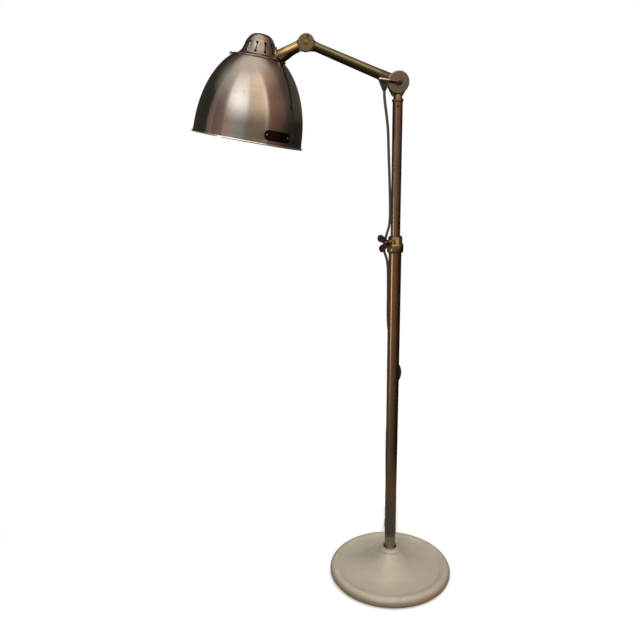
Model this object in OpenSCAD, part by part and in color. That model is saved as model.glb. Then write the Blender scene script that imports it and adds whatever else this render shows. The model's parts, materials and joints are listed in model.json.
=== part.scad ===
// Bridge floor lamp: cast base, telescopic pole, one jointed arm and a spun metal shade.
// Millimetres, +Z up, origin on the floor at the pole's axis, the arm reaching towards -X.

/* [Base] */
// Diameter of the cast base
base_d = 300; // [270:1:330]
// Height of the base's rounded rim
rim_h = 25; // [22:1:30]
// Height of the boss that the pole stands in
boss_h = 76; // [70:1:90]
// Diameter of the boss at its shoulder
boss_d = 51; // [50:1:60]
// Wall of the casting under the dish
base_wall = 9; // [7:0.5:11]
// Height of the pole's seat inside the boss
seat_z = 34; // [32:1:40]
// Diameter of the stud that pulls the pole down
stud_d = 12; // [10:1:14]

/* [Pole] */
// Diameter of the lower tube
lower_d = 27; // [25:0.5:30]
// Diameter of the upper tube
upper_d = 20; // [18:0.5:21]
// Wall of both pole tubes
tube_wall = 1.5; // [1:0.1:2]
// Height of the lower tube's open end
lower_top = 825; // [780:1:900]
// Height of the upper tube's foot inside the lower tube
upper_foot = 505; // [480:1:540]
// Height of the upper tube's top end
upper_top = 1098; // [1080:1:1160]
// Length of the sleeve that guides the upper tube's foot
sleeve_len = 38; // [25:1:50]
// Radial gap of a piece that slides or turns in another
running_gap = 0.05; // [0.03:0.01:0.1]

/* [Clamp collar] */
// Height of the collar's skirt round the lower tube
skirt_h = 19; // [14:1:26]
// Height of the collar's upper tier
tier_h = 14; // [12:1:18]
// Wall of the collar's skirt
skirt_wall = 3.8; // [3:0.1:5]
// Diameter of the wing screw's shank
wing_screw_d = 6; // [5:0.5:6]
// Span of the wing screw over its two wings
wing_span = 36; // [32:1:42]
// Direction that the wing screw points in, seen from above
wing_azimuth = 212; // [200:1:225]

/* [Arm] */
// Length of the arm between its two joint pins
arm_len = 191; // [170:1:260]
// Angle of the arm above the horizontal
arm_angle = 23; // [10:1:35]
// Diameter of the arm at the elbow
arm_d1 = 19; // [17:0.5:20]
// Diameter of the arm at the head
arm_d2 = 16.5; // [15:0.5:17]
// Wall of the arm tube
arm_wall = 1.4; // [1:0.1:2]

/* [Joints] */
// Diameter of the elbow's discs
elbow_d = 41; // [38:0.5:46]
// Thickness of each elbow disc
elbow_t = 10; // [8:0.5:11]
// Height of the elbow's pin over the upper tube's end
elbow_rise = 34.5; // [33:0.5:40]
// Diameter of the elbow's bolt
bolt_d = 8; // [6:0.5:10]
// Length of the clamping lever from the bolt to its tip
lever_len = 41; // [34:1:50]
// Diameter of the head joint's discs
head_d = 31.5; // [29:0.5:36]
// Thickness of each head joint disc
head_t = 7.5; // [6:0.5:9]
// Diameter of the head joint's screw
head_screw_d = 6; // [5:0.5:8]
// Gap between faces that turn on each other
face_gap = 0.3; // [0.2:0.05:0.4]

/* [Head] */
// Tilt of the shade, its top leaning towards the pole
tilt = 12; // [0:1:20]
// Distance from the shade's axis to the head joint
head_reach = 84; // [80:1:96]
// Height of the head joint over the shade's rim
head_h = 190.5; // [188:0.5:196]
// Diameter of the brass neck where it meets the disc
stub_d1 = 19.5; // [18:0.5:22]
// Diameter of the brass neck where it meets the cap
stub_d2 = 22.5; // [21:0.5:24]

/* [Shade] */
// Diameter of the shade just above its rim
shade_d = 215; // [200:1:230]
// Height at which the shade's curve would close
shade_dome_h = 166.5; // [164:0.5:172]
// Thickness of the spun metal
shade_wall = 0.8; // [0.6:0.1:1.5]
// Diameter of the rolled bead at the rim
bead_d = 3.2; // [2.6:0.1:4]
// Radius of the shade's seat under the cap
neck_r = 50.5; // [48:0.5:53]
// Height of the vented cap over its seat
cap_h = 43.5; // [42:0.5:47]
// Wall of the cap
cap_wall = 1; // [0.8:0.1:1.4]
// Number of places for vents round the cap
vent_count = 12; // [9:1:14]
// Diameter of the round ends of a vent
vent_d = 4.8; // [3:0.2:5.4]
// Width of the slit that joins them
vent_slit = 2; // [1.2:0.1:2.8]

/* [Lamp holder and bulb] */
// Diameter of the holder's metal cover
holder_d = 39; // [37:0.5:42]
// Length of the holder from cover to rim
holder_len = 58; // [54:1:62]
// Diameter of the bulb's screw cap
screw_cap_d = 26.4; // [26:0.1:27]
// Diameter of the bulb's glass
bulb_d = 60; // [55:1:65]
// Length of the bulb with its cap
bulb_len = 104; // [98:1:110]

/* [Cord] */
// Diameter of the textile cord
cord_d = 5.5; // [5:0.1:6]
// Length of the in-line switch
switch_len = 62; // [56:1:70]
// Width of the in-line switch
switch_w = 31; // [29:0.5:35]
// Thickness of the in-line switch
switch_t = 16; // [15:0.5:18]
// Width of the plug
plug_w = 32; // [30:0.5:35]
// Thickness of the plug
plug_t = 14; // [13:0.5:16]

/* [Hidden] */
$fn = 96;
eps = 0.01;
seat_gap = 0.1;       // play between pieces that are pressed or screwed together

// --- base
rim_round = 14;                          // radius of the base's rounded rim
dish_r = base_d / 2 - 32;                // where the dish is lowest
dish_z = rim_h - 4.2;
foot_in = base_d / 2 - 16;               // inner edge of the foot ring
shoulder_z = boss_h - 10;
lip_floor = boss_h - 1;                  // face inside the boss's raised lip
hub_r = lower_d / 2 + base_wall;         // underside hub round the seat
hub_z = seat_z - 14;                     // face that the washer bears on
hub_top = shoulder_z - 20;
trumpet_power = 2.7;                     // how steeply the dish climbs to the boss
washer_t = 2.5;
nut_t = 9;
// --- pole
lower_r = lower_d / 2;
upper_r = upper_d / 2;
lower_bore = lower_r - tube_wall;
upper_bore = upper_r - tube_wall;
foot_ring_h = 4;
plug_len = 20;
ring_t = 4;                              // retaining ring over the guide sleeve
// --- clamp collar
skirt_r = lower_r + skirt_wall;
tier_r = lower_r + 1.3;
collar_bore = upper_r + 2.6;             // bore of the upper tier, round the bush
collar_top = lower_top + tier_h;
bush_foot = lower_top - 30;
bush_lip = 1.5;                          // the bush stands proud of the collar
clamp_z = lower_top + 4;                 // height of both clamp screws
boss_end = skirt_r + 3;                  // end face of the wing screw's boss
boss_r = wing_screw_d / 2 + 2.6;
wing_t = 3;
wing_lobe = 7.5;                         // radius of each wing's round end
wing_root = 6;                           // half the width of the wings at the hub
wing_turn = 14;
front_screw_azimuth = 255;
// --- elbow and arm
elbow_z = upper_top + elbow_rise;
elbow_r = elbow_d / 2;
bolt_r = bolt_d / 2;
neck_collar_h = 5;
neck_r1 = upper_r + 1.4;                 // bead on top of the upper tube
neck_r2 = upper_r - 1.4;                 // waist under the elbow
body1 = elbow_r + 0.8;                   // where the knuckle's full round starts
tube_from = 40;                          // arm tube, measured from the elbow's pin
head_r = head_d / 2;
body2 = arm_len - head_r - 0.8;
tube_to = body2 - 8;
spigot_len = 16;
wire_hole = 4;
exit_x = -26.5;                          // the cord leaves the elbow here
corner_z = elbow_z - exit_x * tan(arm_angle);    // where the lead turns into the arm
cheek_t = 5.2;                           // web that joins the disc to the arm
lever_r = 3.8;
exit_z = elbow_z - 9;
exit_boss_r = 5.5;
gland_len = 4.2;
arm_drop = 35;                           // how far the arm folds down at the elbow
// --- head, in the shade's own frame: origin at the rim's centre, +Z along the shade's axis
cap_z = 147.6;                           // underside of the cap's flange
// the brass neck meets the cap's wall here, almost square on
wall_point = cap_point(6, 0) * 0.6 + cap_point(7, 0) * 0.4;
neck_angle = atan2(head_h - wall_point[1], head_reach - wall_point[0]);
wall_t = norm([head_reach, head_h] - wall_point);    // from the head joint to the cap's wall
flange_r = 16;
flange_t = 2.2;
spigot_r = 5;
flange_screw_r = 1.2;
flange_screw_azimuth = 20;               // on both sides of the neck
strap_t = 1.5;
strap_w = 12;
strap_z = cap_z + 18.7;                  // level part of the holder's strap
holder_top = strap_z - seat_gap;
holder_r = holder_d / 2;
ring_z = holder_top - holder_len;        // lower rim of the holder
bulb_top = holder_top - 31;
// --- cord
cord_r = cord_d / 2;
switch_c = [6.1, 22.8, 531];
grip_len = 6;
pass = 6;                                // height from one layer of the hank to the next
hank_run = 104;                          // between the centres of the hank's folds
fold_r = 13.4;                           // radius of the folds
waist_r = 5;                             // half the hank's width at its tie
hank_loops = 4;
hank_z = cord_r + 1;
hank_at = [37.5, 240, 0];                // middle of the hank on the floor
sight = -9;                              // the hank points straight away from the front view
tie_t = 0.8;
tie_w = 8;

// Routes of the cord where it isn't coiled, chosen by hand
elbow_route = [[exit_x, 0, 1119.3], [-26, 0.5, 1109], [-24.3, 2.5, 1096], [-22, 5, 1083], [-19.8, 7.5, 1070]];
swivel_route = [[-19.8, 7.5, 1070], [-16.4, 12.4, 1046], [-14.3, 15.1, 1009], [-12.2, 16.9, 971],
    [-10.3, 18, 932], [-9, 18.7, 900], [-9, 18.7, 875]];
upper_route = [[-9, 18.7, 875], [-11, 18, 858], [-16.2, 17.5, 840], [-20.8, 16.5, 822],
    [-20.2, 16.5, 806], [-15, 17, 790], [-12.2, 17.7, 770], [-11.4, 18, 740], [-11.1, 18, 700],
    [-10.8, 18.3, 662], [-8.5, 19, 633], [-3, 20.6, 607], [3.5, 22.3, 587], [6.1, 22.8, 568]];
lower_route = [[6.1, 22.8, 494], [4.8, 22.5, 477], [0, 21, 455], [-5, 19.5, 432], [-8, 18.6, 402],
    [-9, 18.4, 362], [-9, 18.4, 315], [-8.3, 18.6, 265], [-6, 19.4, 215], [-1.5, 20.7, 165], [2.5, 22, 120]];
floor_route = [[2.5, 22, 120], [3.5, 24, 100], [4.5, 29.5, 82], [6, 37, 66.5], [8.5, 46.5, 51.5],
    [11.5, 60, 38.5], [15, 77, 30], [18.5, 96, 25.8], [22, 114, 25], [25.5, 130, 28.3], [29.5, 145, 27.5],
    [33.5, 157, 18.5], [37.5, 167, 8.5], [40.2, 173.5, 4.5], at_hank([fold_r, -hank_run / 2 - 8.05, hank_z])];
tail_route = [at_hank([fold_r, hank_run / 2 + 8.05, hank_z + pass * hank_loops]), [60.8, 305.5, 25.5],
    [59, 316, 17], [57.3, 326, 9], [57, 333.5, 7]];

echo(str("cord stretches, mm: ", [for (r = [elbow_route, swivel_route, upper_route, lower_route,
    floor_route, tail_route]) round(route_len(smooth(r, 4)))]));
echo(str("hank, mm: length ", round(route_len(hank_points())), ", least gap to itself ",
    hank_gap(hank_points())));

// --- vectors, smooth routes and swept tubes
function unit(v) = v / norm(v);
function route_len(p) = len(p) < 2 ? 0 : total([for (i = [1 : len(p) - 1]) norm(p[i] - p[i - 1])]);
function total(v, i = 0) = i < len(v) ? v[i] + total(v, i + 1) : 0;
function blend4(a, b, c, d, t) = b + t / 2 * ((c - a) + t * ((2 * a - 5 * b + 4 * c - d)
    + t * (3 * b - a - 3 * c + d)));
// a smooth curve through the points, n steps between each two
function smooth(p, n) = n < 2 ? p : [
    for (i = [0 : len(p) - 2]) for (k = [0 : n - 1])
        blend4(p[max(i - 1, 0)], p[i], p[i + 1], p[min(i + 2, len(p) - 1)], k / n),
    p[len(p) - 1]];
// rings of one tube: ends square to t0 and t1, the first corner turned towards ref
function rings(p, r, sides, ref, t0, t1) = [
    for (i = [0 : len(p) - 1])
        let (t = i == 0 ? unit(t0) : i == len(p) - 1 ? unit(t1) : unit(p[i + 1] - p[i - 1]),
             a = unit(cross(t, ref)), b = cross(t, a))
            for (k = [0 : sides - 1]) p[i] + r * (cos(360 * k / sides) * a + sin(360 * k / sides) * b)];
function tube_faces(n, s) = [
    [for (k = [0 : s - 1]) k],
    for (i = [0 : n - 2]) for (k = [0 : s - 1]) let (a = i * s + k, b = i * s + (k + 1) % s) each
        [[a, a + s, b], [b, a + s, b + s]],
    [for (k = [s - 1 : -1 : 0]) (n - 1) * s + k]];
module swept(p, r, sides, ref, t0, t1)
    polyhedron(rings(p, r, sides, ref, t0, t1), tube_faces(len(p), sides), convexity = 12);

// --- the hank: each loop is a run out, a fold, a run back that climbs a layer, and a fold
function at_hank(p) = hank_at + [p[0] * cos(sight) - p[1] * sin(sight),
    p[0] * sin(sight) + p[1] * cos(sight), p[2]];
function hank_x(y) = fold_r - (fold_r - waist_r) * pow(cos(180 * y / hank_run), 2);
function ease(t) = t * t * (3 - 2 * t);
function hank_points() = [
    [fold_r, -hank_run / 2 - 8, hank_z],
    for (k = [0 : hank_loops - 1]) each [
        for (i = [0 : 6]) let (y = (i / 6 - 0.5) * hank_run) [hank_x(y), y, hank_z + pass * k],
        for (i = [1 : 5]) [fold_r * cos(30 * i), hank_run / 2 + fold_r * sin(30 * i), hank_z + pass * k],
        for (i = [0 : 6]) let (y = (0.5 - i / 6) * hank_run)
            [-hank_x(y), y, hank_z + pass * (k + ease(i / 6))],
        for (i = [1 : 5]) [-fold_r * cos(30 * i), -hank_run / 2 - fold_r * sin(30 * i),
            hank_z + pass * (k + 1)]],
    for (i = [0 : 6]) let (y = (i / 6 - 0.5) * hank_run) [hank_x(y), y, hank_z + pass * hank_loops],
    [fold_r, hank_run / 2 + 8, hank_z + pass * hank_loops]];
// least distance between two stretches of the hank that aren't neighbours, less the cord itself
function near(a, b, c) = let (t = min(1, max(0, (c - a) * (b - a) / ((b - a) * (b - a))))) norm(a + t * (b - a) - c);
function hank_gap(p) = min([for (i = [0 : len(p) - 8]) for (j = [i + 6 : len(p) - 2])
    near(p[j], p[j + 1], p[i])]) - cord_d;

// --- shared small shapes
module at_arm() translate([0, 0, elbow_z]) rotate([0, arm_angle, 0]) children();
module at_head() at_arm() translate([-arm_len, 0, 0]) rotate([0, tilt - arm_angle, 0]) children();
module at_shade() at_head() translate([-head_reach, 0, -head_h]) children();
module at_neck() at_head() rotate([0, -neck_angle, 0]) children();
module along_y(y0, y1, r) translate([0, y0, 0]) rotate([-90, 0, 0]) cylinder(h = y1 - y0, r = r);
module towards_elbow_side(x0, x1, r0, r1) translate([-x0, 0, 0]) rotate([0, -90, 0])
    cylinder(h = x1 - x0, r1 = r0, r2 = r1);
module ring(z0, z1, r_in, r_out, edge = 0) rotate_extrude() polygon([
    [r_in, z0], [r_out - edge, z0], [r_out, z0 + edge], [r_out, z1 - edge], [r_out - edge, z1], [r_in, z1]]);
module hex_ring(z0, z1, across, hole_r) translate([0, 0, z0]) difference() {
    cylinder(h = z1 - z0, d = across / cos(30), $fn = 6);
    translate([0, 0, -1]) cylinder(h = z1 - z0 + 2, r = hole_r);
}
// a disc with a tangent neck below it, drawn in the XZ plane and as thick as y1 - y0
module keyed_disc(r, half, drop, y0, y1) {
    spread = acos(r / norm([half, drop])) + atan(half / drop);
    translate([0, y1, 0]) rotate([90, 0, 0]) linear_extrude(y1 - y0) {
        circle(r);
        polygon([[-half, -drop], [half, -drop], [r * sin(spread), -r * cos(spread)],
            [-r * sin(spread), -r * cos(spread)]]);
    }
}
// a screw with a slotted round head, standing on the XY plane
module cheese_screw(head_radius, head_h, shank_r, shank_len, slot = 1) {
    difference() {
        rotate_extrude() polygon([[0, 0], [head_radius, 0], [head_radius, head_h * 0.6],
            [head_radius * 0.85, head_h * 0.9], [head_radius * 0.5, head_h], [0, head_h]]);
        translate([-head_radius - 1, -slot / 2, head_h * 0.45])
            cube([2 * head_radius + 2, slot, head_h]);
    }
    translate([0, 0, -shank_len]) cylinder(h = shank_len + eps, r = shank_r);
}

// --- base
function base_top(r) = dish_z + (shoulder_z - dish_z)
    * pow((dish_r - r) / (dish_r - boss_d / 2), trumpet_power);
function base_under(r) = dish_z - base_wall + (hub_top - dish_z + base_wall)
    * pow((dish_r - r) / (dish_r - hub_r - 4), trumpet_power);

module base_casting() color([0.65, 0.61, 0.54]) rotate_extrude($fn = 180) polygon([
    [foot_in, 0], [base_d / 2 - rim_round / 2, 0],
    // rounded rim, from the foot over the crest and down into the dish
    for (a = [-40 : 14 : 118]) [base_d / 2 - rim_round + rim_round * cos(a),
        rim_h - rim_round + rim_round * sin(a)],
    [dish_r + 6, dish_z + 0.6],
    for (i = [0 : 16]) let (r = dish_r + (boss_d / 2 - dish_r) * i / 16) [r, base_top(r)],
    // rounded shoulder and the lip round the pole
    [boss_d / 2 - 0.6, shoulder_z + 3], [boss_d / 2 - 2, shoulder_z + 5.2],
    [boss_d / 2 - 4, shoulder_z + 6.4], [lower_r + 7.4, boss_h - 3], [lower_r + 7.4, boss_h - 0.9],
    [lower_r + 6.6, boss_h], [lower_r + 5.2, boss_h], [lower_r + 4.2, lip_floor],
    [lower_r + seat_gap, lip_floor], [lower_r + seat_gap, seat_z], [stud_d / 2 + seat_gap, seat_z],
    [stud_d / 2 + seat_gap, hub_z], [hub_r, hub_z], [hub_r, hub_top],
    for (i = [10 : -1 : 0]) let (r = dish_r + (hub_r + 4 - dish_r) * i / 10) [r, base_under(r)],
    [foot_in - 3, dish_z - base_wall + 1.5], [foot_in, dish_z - base_wall - 2]]);

module base_washer() color("dimgray")
    ring(hub_z - washer_t, hub_z - eps, stud_d / 2 + seat_gap, stud_d + 4, 0.4);

module base_locknut() color("gray")
    hex_ring(hub_z - washer_t - nut_t, hub_z - washer_t - eps, stud_d * 1.6, stud_d / 2 + seat_gap);

module pole_foot_plug() color("gray") {
    ring(seat_z + 0.2, seat_z + plug_len, 0, lower_bore - seat_gap, 0.8);
    translate([0, 0, hub_z - washer_t - nut_t - 3])
        cylinder(h = seat_z + 1 - (hub_z - washer_t - nut_t - 3), r = stud_d / 2);
}

module pole_foot_ring() color([0.36, 0.29, 0.2]) rotate_extrude() polygon([
    [lower_r + seat_gap, lip_floor + 0.05], [lower_r + 2, lip_floor + 0.05], [lower_r + 2.6, lip_floor + 0.8],
    [lower_r + 2.6, lip_floor + foot_ring_h - 1.6], [lower_r + 2, lip_floor + foot_ring_h - 0.6],
    [lower_r + 0.8, lip_floor + foot_ring_h], [lower_r + seat_gap, lip_floor + foot_ring_h]]);

module lower_tube() color([0.4, 0.3, 0.22])
    ring(seat_z + 0.1, lower_top - 0.1, lower_bore, lower_r, 0.3);

// --- clamp collar on the lower tube
module towards(azimuth, z, r) translate([0, 0, z]) rotate([0, 0, azimuth]) translate([r, 0, 0])
    rotate([0, 90, 0]) children();

module clamp_collar() color([0.48, 0.38, 0.2]) difference() {
    union() {
        rotate_extrude() polygon([
            [lower_r + seat_gap, lower_top - skirt_h], [skirt_r - 2.2, lower_top - skirt_h],
            [skirt_r - 0.7, lower_top - skirt_h + 1.2], [skirt_r, lower_top - skirt_h + 3.5],
            [skirt_r, lower_top - 3.2], [skirt_r - 0.6, lower_top - 1.4], [tier_r + 0.6, lower_top],
            [tier_r, lower_top + 0.8], [tier_r, collar_top - 1.4], [tier_r - 0.5, collar_top - 0.5],
            [tier_r - 1.2, collar_top], [collar_bore, collar_top], [collar_bore, lower_top],
            [lower_r + seat_gap, lower_top]]);
        difference() {
            towards(wing_azimuth, clamp_z, collar_bore + 0.5)
                cylinder(h = boss_end - collar_bore - 0.5, r = boss_r);
            translate([0, 0, lower_top - skirt_h]) cylinder(h = skirt_h + tier_h, r = tier_r - 0.3);
        }
    }
    towards(wing_azimuth, clamp_z, collar_bore - 1)
        cylinder(h = boss_end - collar_bore + 2, r = wing_screw_d / 2 + running_gap);
    towards(front_screw_azimuth, clamp_z, collar_bore - 1) cylinder(h = 6, r = 1.6);
}

module collar_bush() color([0.6, 0.47, 0.25]) difference() {
    rotate_extrude() polygon([
        [upper_r + running_gap, bush_foot], [lower_bore - seat_gap, bush_foot],
        [lower_bore - seat_gap, lower_top + 0.1], [collar_bore - seat_gap, lower_top + 0.1],
        [collar_bore - seat_gap, collar_top + bush_lip - 0.6], [collar_bore - 0.7, collar_top + bush_lip],
        [upper_r + 0.6, collar_top + bush_lip], [upper_r + running_gap, collar_top + bush_lip - 0.6]]);
    rotate([0, 0, wing_azimuth - 180]) translate([upper_r - 1, -0.6, bush_foot - 1])
        cube([6, 1.2, collar_top - bush_foot + 6]);
}

module collar_screw() color([0.66, 0.5, 0.36])
    towards(front_screw_azimuth, clamp_z, tier_r + 0.02) cheese_screw(3, 2.2, 1.5, tier_r - collar_bore - 0.1);

module wing_outline() {
    lobe = wing_span / 2 - wing_lobe;
    translate([boss_end + 17, lobe]) circle(wing_lobe);
    polygon([[boss_end + 1, 0], [boss_end + 1, wing_root],
        [boss_end + 17 - wing_lobe * sin(40), lobe + wing_lobe * cos(40)],
        [boss_end + 17 + wing_lobe * sin(24), lobe - wing_lobe * cos(24)], [boss_end + 9.5, 0]]);
}

// each wing is dished on both faces
module wing_dish(face) translate([boss_end + 17.2, face * wing_t / 2, wing_span / 2 - wing_lobe + 0.4])
    rotate([90, 0, 0]) cylinder(h = 1.8, r = wing_lobe - 2.6, center = true);

module wing_screw() color([0.5, 0.36, 0.27]) translate([0, 0, clamp_z]) rotate([0, 0, wing_azimuth])
    rotate([wing_turn, 0, 0]) {
        translate([collar_bore + 0.3, 0, 0]) rotate([0, 90, 0])
            cylinder(h = boss_end - collar_bore, r = wing_screw_d / 2);
        translate([boss_end + 0.3, 0, 0]) rotate([0, 90, 0]) rotate_extrude() polygon([
            [0, 0], [5, 0], [5.4, 0.8], [5.2, 2.5], [4.4, 7], [3.2, 9.6], [0, 10.4]]);
        for (s = [0, 1]) mirror([0, 0, s]) difference() {
            translate([0, wing_t / 2, 0]) rotate([90, 0, 0]) linear_extrude(wing_t) wing_outline();
            wing_dish(-1);
            wing_dish(1);
        }
    }

// --- sliding upper pole
module guide_sleeve() color([0.6, 0.47, 0.25]) difference() {
    ring(upper_foot + 2, upper_foot + 2 + sleeve_len, upper_r + running_gap, lower_bore - running_gap, 0.5);
    rotate([0, 0, 30]) translate([upper_r - 1, -0.6, upper_foot]) cube([6, 1.2, sleeve_len + 4]);
}

module upper_tube() color([0.43, 0.34, 0.28]) difference() {
    ring(upper_foot + 1.6, upper_top - 0.05, upper_bore, upper_r, 0.2);
    grub_place() cylinder(h = upper_r, r = grub_r + seat_gap);
}
// the grub screw that holds the neck in the tube, on the front
grub_r = 1.3;
module grub_place() translate([-1, 0, upper_top - 8]) rotate([90, 0, 0]) translate([0, 0, upper_r * 0.6]) children();

module sleeve_ring() color("gray")
    ring(upper_foot + sleeve_len + 2.3, upper_foot + sleeve_len + 2.3 + ring_t, upper_r + 0.02,
        lower_bore - 0.4, 0.4);

module sleeve_plug() color("gray") rotate_extrude() polygon([
    [0, upper_foot - 1.5], [lower_bore - 1.2, upper_foot - 1.5], [lower_bore - 0.4, upper_foot - 0.7],
    [lower_bore - 0.4, upper_foot + 1.5], [upper_bore - seat_gap, upper_foot + 1.5],
    [upper_bore - seat_gap, upper_foot + 18], [0, upper_foot + 18]]);

// --- elbow: the neck carries the rear disc, the arm the front disc
module neck_casting() color([0.42, 0.35, 0.24]) {
    difference() {
        union() {
            rotate_extrude() polygon([
                [0, upper_top - 26], [upper_bore - seat_gap, upper_top - 26], [upper_bore - seat_gap, upper_top],
                [neck_r1 - 1, upper_top], [neck_r1 - 0.2, upper_top + 0.8], [neck_r1, upper_top + neck_collar_h / 2],
                [neck_r1 - 0.2, upper_top + neck_collar_h - 0.8], [neck_r1 - 1, upper_top + neck_collar_h],
                [neck_r2 + 0.4, upper_top + neck_collar_h + 0.6], [neck_r2, upper_top + neck_collar_h + 2],
                [neck_r2, elbow_z - elbow_r - 1.6], [neck_r2 - 0.8, elbow_z - elbow_r - face_gap - 0.3],
                [0, elbow_z - elbow_r - face_gap - 0.3]]);
            translate([0, 0, elbow_z])
                keyed_disc(elbow_r, neck_r2, elbow_rise - neck_collar_h - 3, face_gap, face_gap + elbow_t);
        }
        translate([0, 0, elbow_z]) along_y(-1, elbow_t + 2, bolt_r + seat_gap);
        // the tube's neck is round, so the web under the disc is trimmed to it
        difference() {
            translate([-neck_r2 - 6, -1, upper_top + neck_collar_h + 1]) cube([2 * neck_r2 + 12, elbow_t + 6, 4]);
            translate([0, 0, upper_top]) cylinder(h = 20, r = neck_r2);
        }
        translate([0, upper_r * 0.6, 0]) grub_place() cylinder(h = 20, r = grub_r + seat_gap);
        // room for the cord's outlet when the arm is right down
        translate([0, 0, elbow_z]) rotate([0, -arm_drop, 0])
            translate([exit_x, 0, exit_z - elbow_z - gland_len + 0.8]) cylinder(h = 20, r = exit_boss_r + 0.4);
    }
}

module neck_grub_screw() color("dimgray") translate([0, -upper_r * 0.4 - 0.02, 0]) grub_place()
    cheese_screw(2.4, 1.4, grub_r, 4, 0.8);

module elbow_bolt() color([0.3, 0.27, 0.22]) translate([0, 0, elbow_z]) {
    along_y(-elbow_t - face_gap - 6, face_gap + elbow_t + 1, bolt_r - running_gap);
    translate([0, face_gap + elbow_t + 0.05, 0]) rotate([-90, 0, 0]) {
        cylinder(h = 4.4, d = bolt_d * 1.65, $fn = 6);
        translate([0, 0, 4.4]) cylinder(h = 1, r1 = bolt_d * 0.7, r2 = bolt_d * 0.45);
    }
}

module elbow_washer() color("sienna") translate([0, 0, elbow_z]) difference() {
    along_y(-face_gap + 0.05, face_gap - 0.05, elbow_r - 4);
    along_y(-1, 1, bolt_r + 0.3);
}

module elbow_lever() color([0.62, 0.43, 0.33]) translate([0, 0, elbow_z]) rotate([0, 9, 0])
    difference() {
        front = -elbow_t - 2 * face_gap;
        union() {
            translate([0, front, 0]) rotate([90, 0, 0]) rotate_extrude() polygon([
                [0, 0], [5.4, 0], [5.9, 0.6], [5.9, 6], [5, 7.6], [3, 8.2], [0, 8.2]]);
            translate([0, front - 4.2, 0]) {
                rotate([0, -90, 0]) cylinder(h = lever_len - lever_r, r1 = lever_r - 0.7, r2 = lever_r);
                translate([-lever_len + lever_r, 0, 0]) sphere(r = lever_r);
            }
        }
        along_y(front - 6, front + 1, bolt_r);
    }

// a point of the XZ plane, measured from the elbow's pin, as seen along the arm
function to_arm(x, z) = let (h = z - elbow_z)
    [x * cos(arm_angle) - h * sin(arm_angle), x * sin(arm_angle) + h * cos(arm_angle)];
module arm_cone(x0, x1, extra = 0) towards_elbow_side(x0, x1, arm_r(x0) + extra, arm_r(x1) + extra);
function arm_r(x) = arm_d1 / 2 + (arm_d2 - arm_d1) / 2 * (x - tube_from) / (tube_to - tube_from);

module arm_elbow_knuckle() color([0.42, 0.38, 0.3]) difference() {
    union() {
        at_arm() {
            // front disc, its edge rounded off
            rotate([90, 0, 0]) rotate_extrude() polygon([
                [0, face_gap], [elbow_r, face_gap], [elbow_r, face_gap + elbow_t - 1.6],
                [elbow_r - 0.5, face_gap + elbow_t - 0.5], [elbow_r - 1.6, face_gap + elbow_t],
                [0, face_gap + elbow_t]]);
            // cheek behind it, from the arm down to the cord's way out
            translate([0, -face_gap, 0]) rotate([90, 0, 0]) linear_extrude(cheek_t) polygon([
                [0, elbow_r - 9], [-body1 - 6, arm_r(tube_from) - 0.2], [-tube_from + 2, 6],
                [-tube_from + 2, -arm_r(tube_from) + 0.5], to_arm(exit_x - exit_boss_r - 0.4, exit_z + 0.3),
                to_arm(exit_x + exit_boss_r + 0.4, exit_z + 0.3), [0, -elbow_r + 2]]);
            arm_cone(2 * bolt_r + 0.5, tube_from - 0.05, 0.35);
            arm_cone(tube_from - 1, tube_from + spigot_len, -arm_wall - 0.1);
        }
        translate([exit_x, 0, exit_z]) cylinder(h = 12, r = exit_boss_r);
    }
    at_arm() {
        along_y(-elbow_t - 2, 1, bolt_r + running_gap);
        towards_elbow_side(body1 + 3, tube_from + spigot_len + 2, wire_hole, wire_hole);
    }
    // bore of the cord's way out, widened where it meets the arm's bore, and the rear disc's room
    translate([exit_x, 0, exit_z - 1]) cylinder(h = corner_z - exit_z, r = cord_r + 0.6);
    translate([exit_x, 0, corner_z - 1]) sphere(r = 2 * cord_r + 0.6);
    translate([0, 0, elbow_z]) along_y(-face_gap, 20, elbow_r + 0.6);
}

module cord_gland() color("black") translate([exit_x, 0, exit_z]) difference() {
    rotate_extrude() polygon([[0, 3], [cord_r + 0.5, 3], [cord_r + 0.5, -0.05], [exit_boss_r - 0.4, -0.05],
        [exit_boss_r - 0.4, -1.2], [cord_r + 1.2, -gland_len], [0, -gland_len]]);
    translate([0, 0, -10]) cylinder(h = 20, r = cord_r + 0.05);
}

module arm_tube() color([0.45, 0.41, 0.28]) at_arm() difference() {
    arm_cone(tube_from, tube_to);
    arm_cone(tube_from - 1, tube_to + 1, -arm_wall);
}

module arm_head_knuckle() color([0.4, 0.34, 0.24]) at_arm() difference() {
    union() {
        translate([-arm_len, 0, 0]) along_y(face_gap, face_gap + head_t, head_r);
        translate([0, face_gap + head_t - 0.4, 0]) rotate([90, 0, 0]) linear_extrude(head_t - 0.4) polygon([
            [-arm_len, head_r - 2], [-body2 + 4, arm_r(tube_to) - 0.2], [-body2 + 4, -arm_r(tube_to) + 0.2],
            [-arm_len, -head_r + 1]]);
        arm_cone(tube_to + 0.05, body2, 0.2);
        arm_cone(tube_to - spigot_len, tube_to + 1, -arm_wall - 0.1);
    }
    towards_elbow_side(tube_to - spigot_len - 2, body2 - 3, wire_hole - 0.5, wire_hole - 0.5);
    translate([-arm_len, 0, 0]) {
        along_y(-1, 20, head_screw_d / 2 + seat_gap);
        along_y(-20, face_gap, head_r + 0.6);
    }
}

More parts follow.
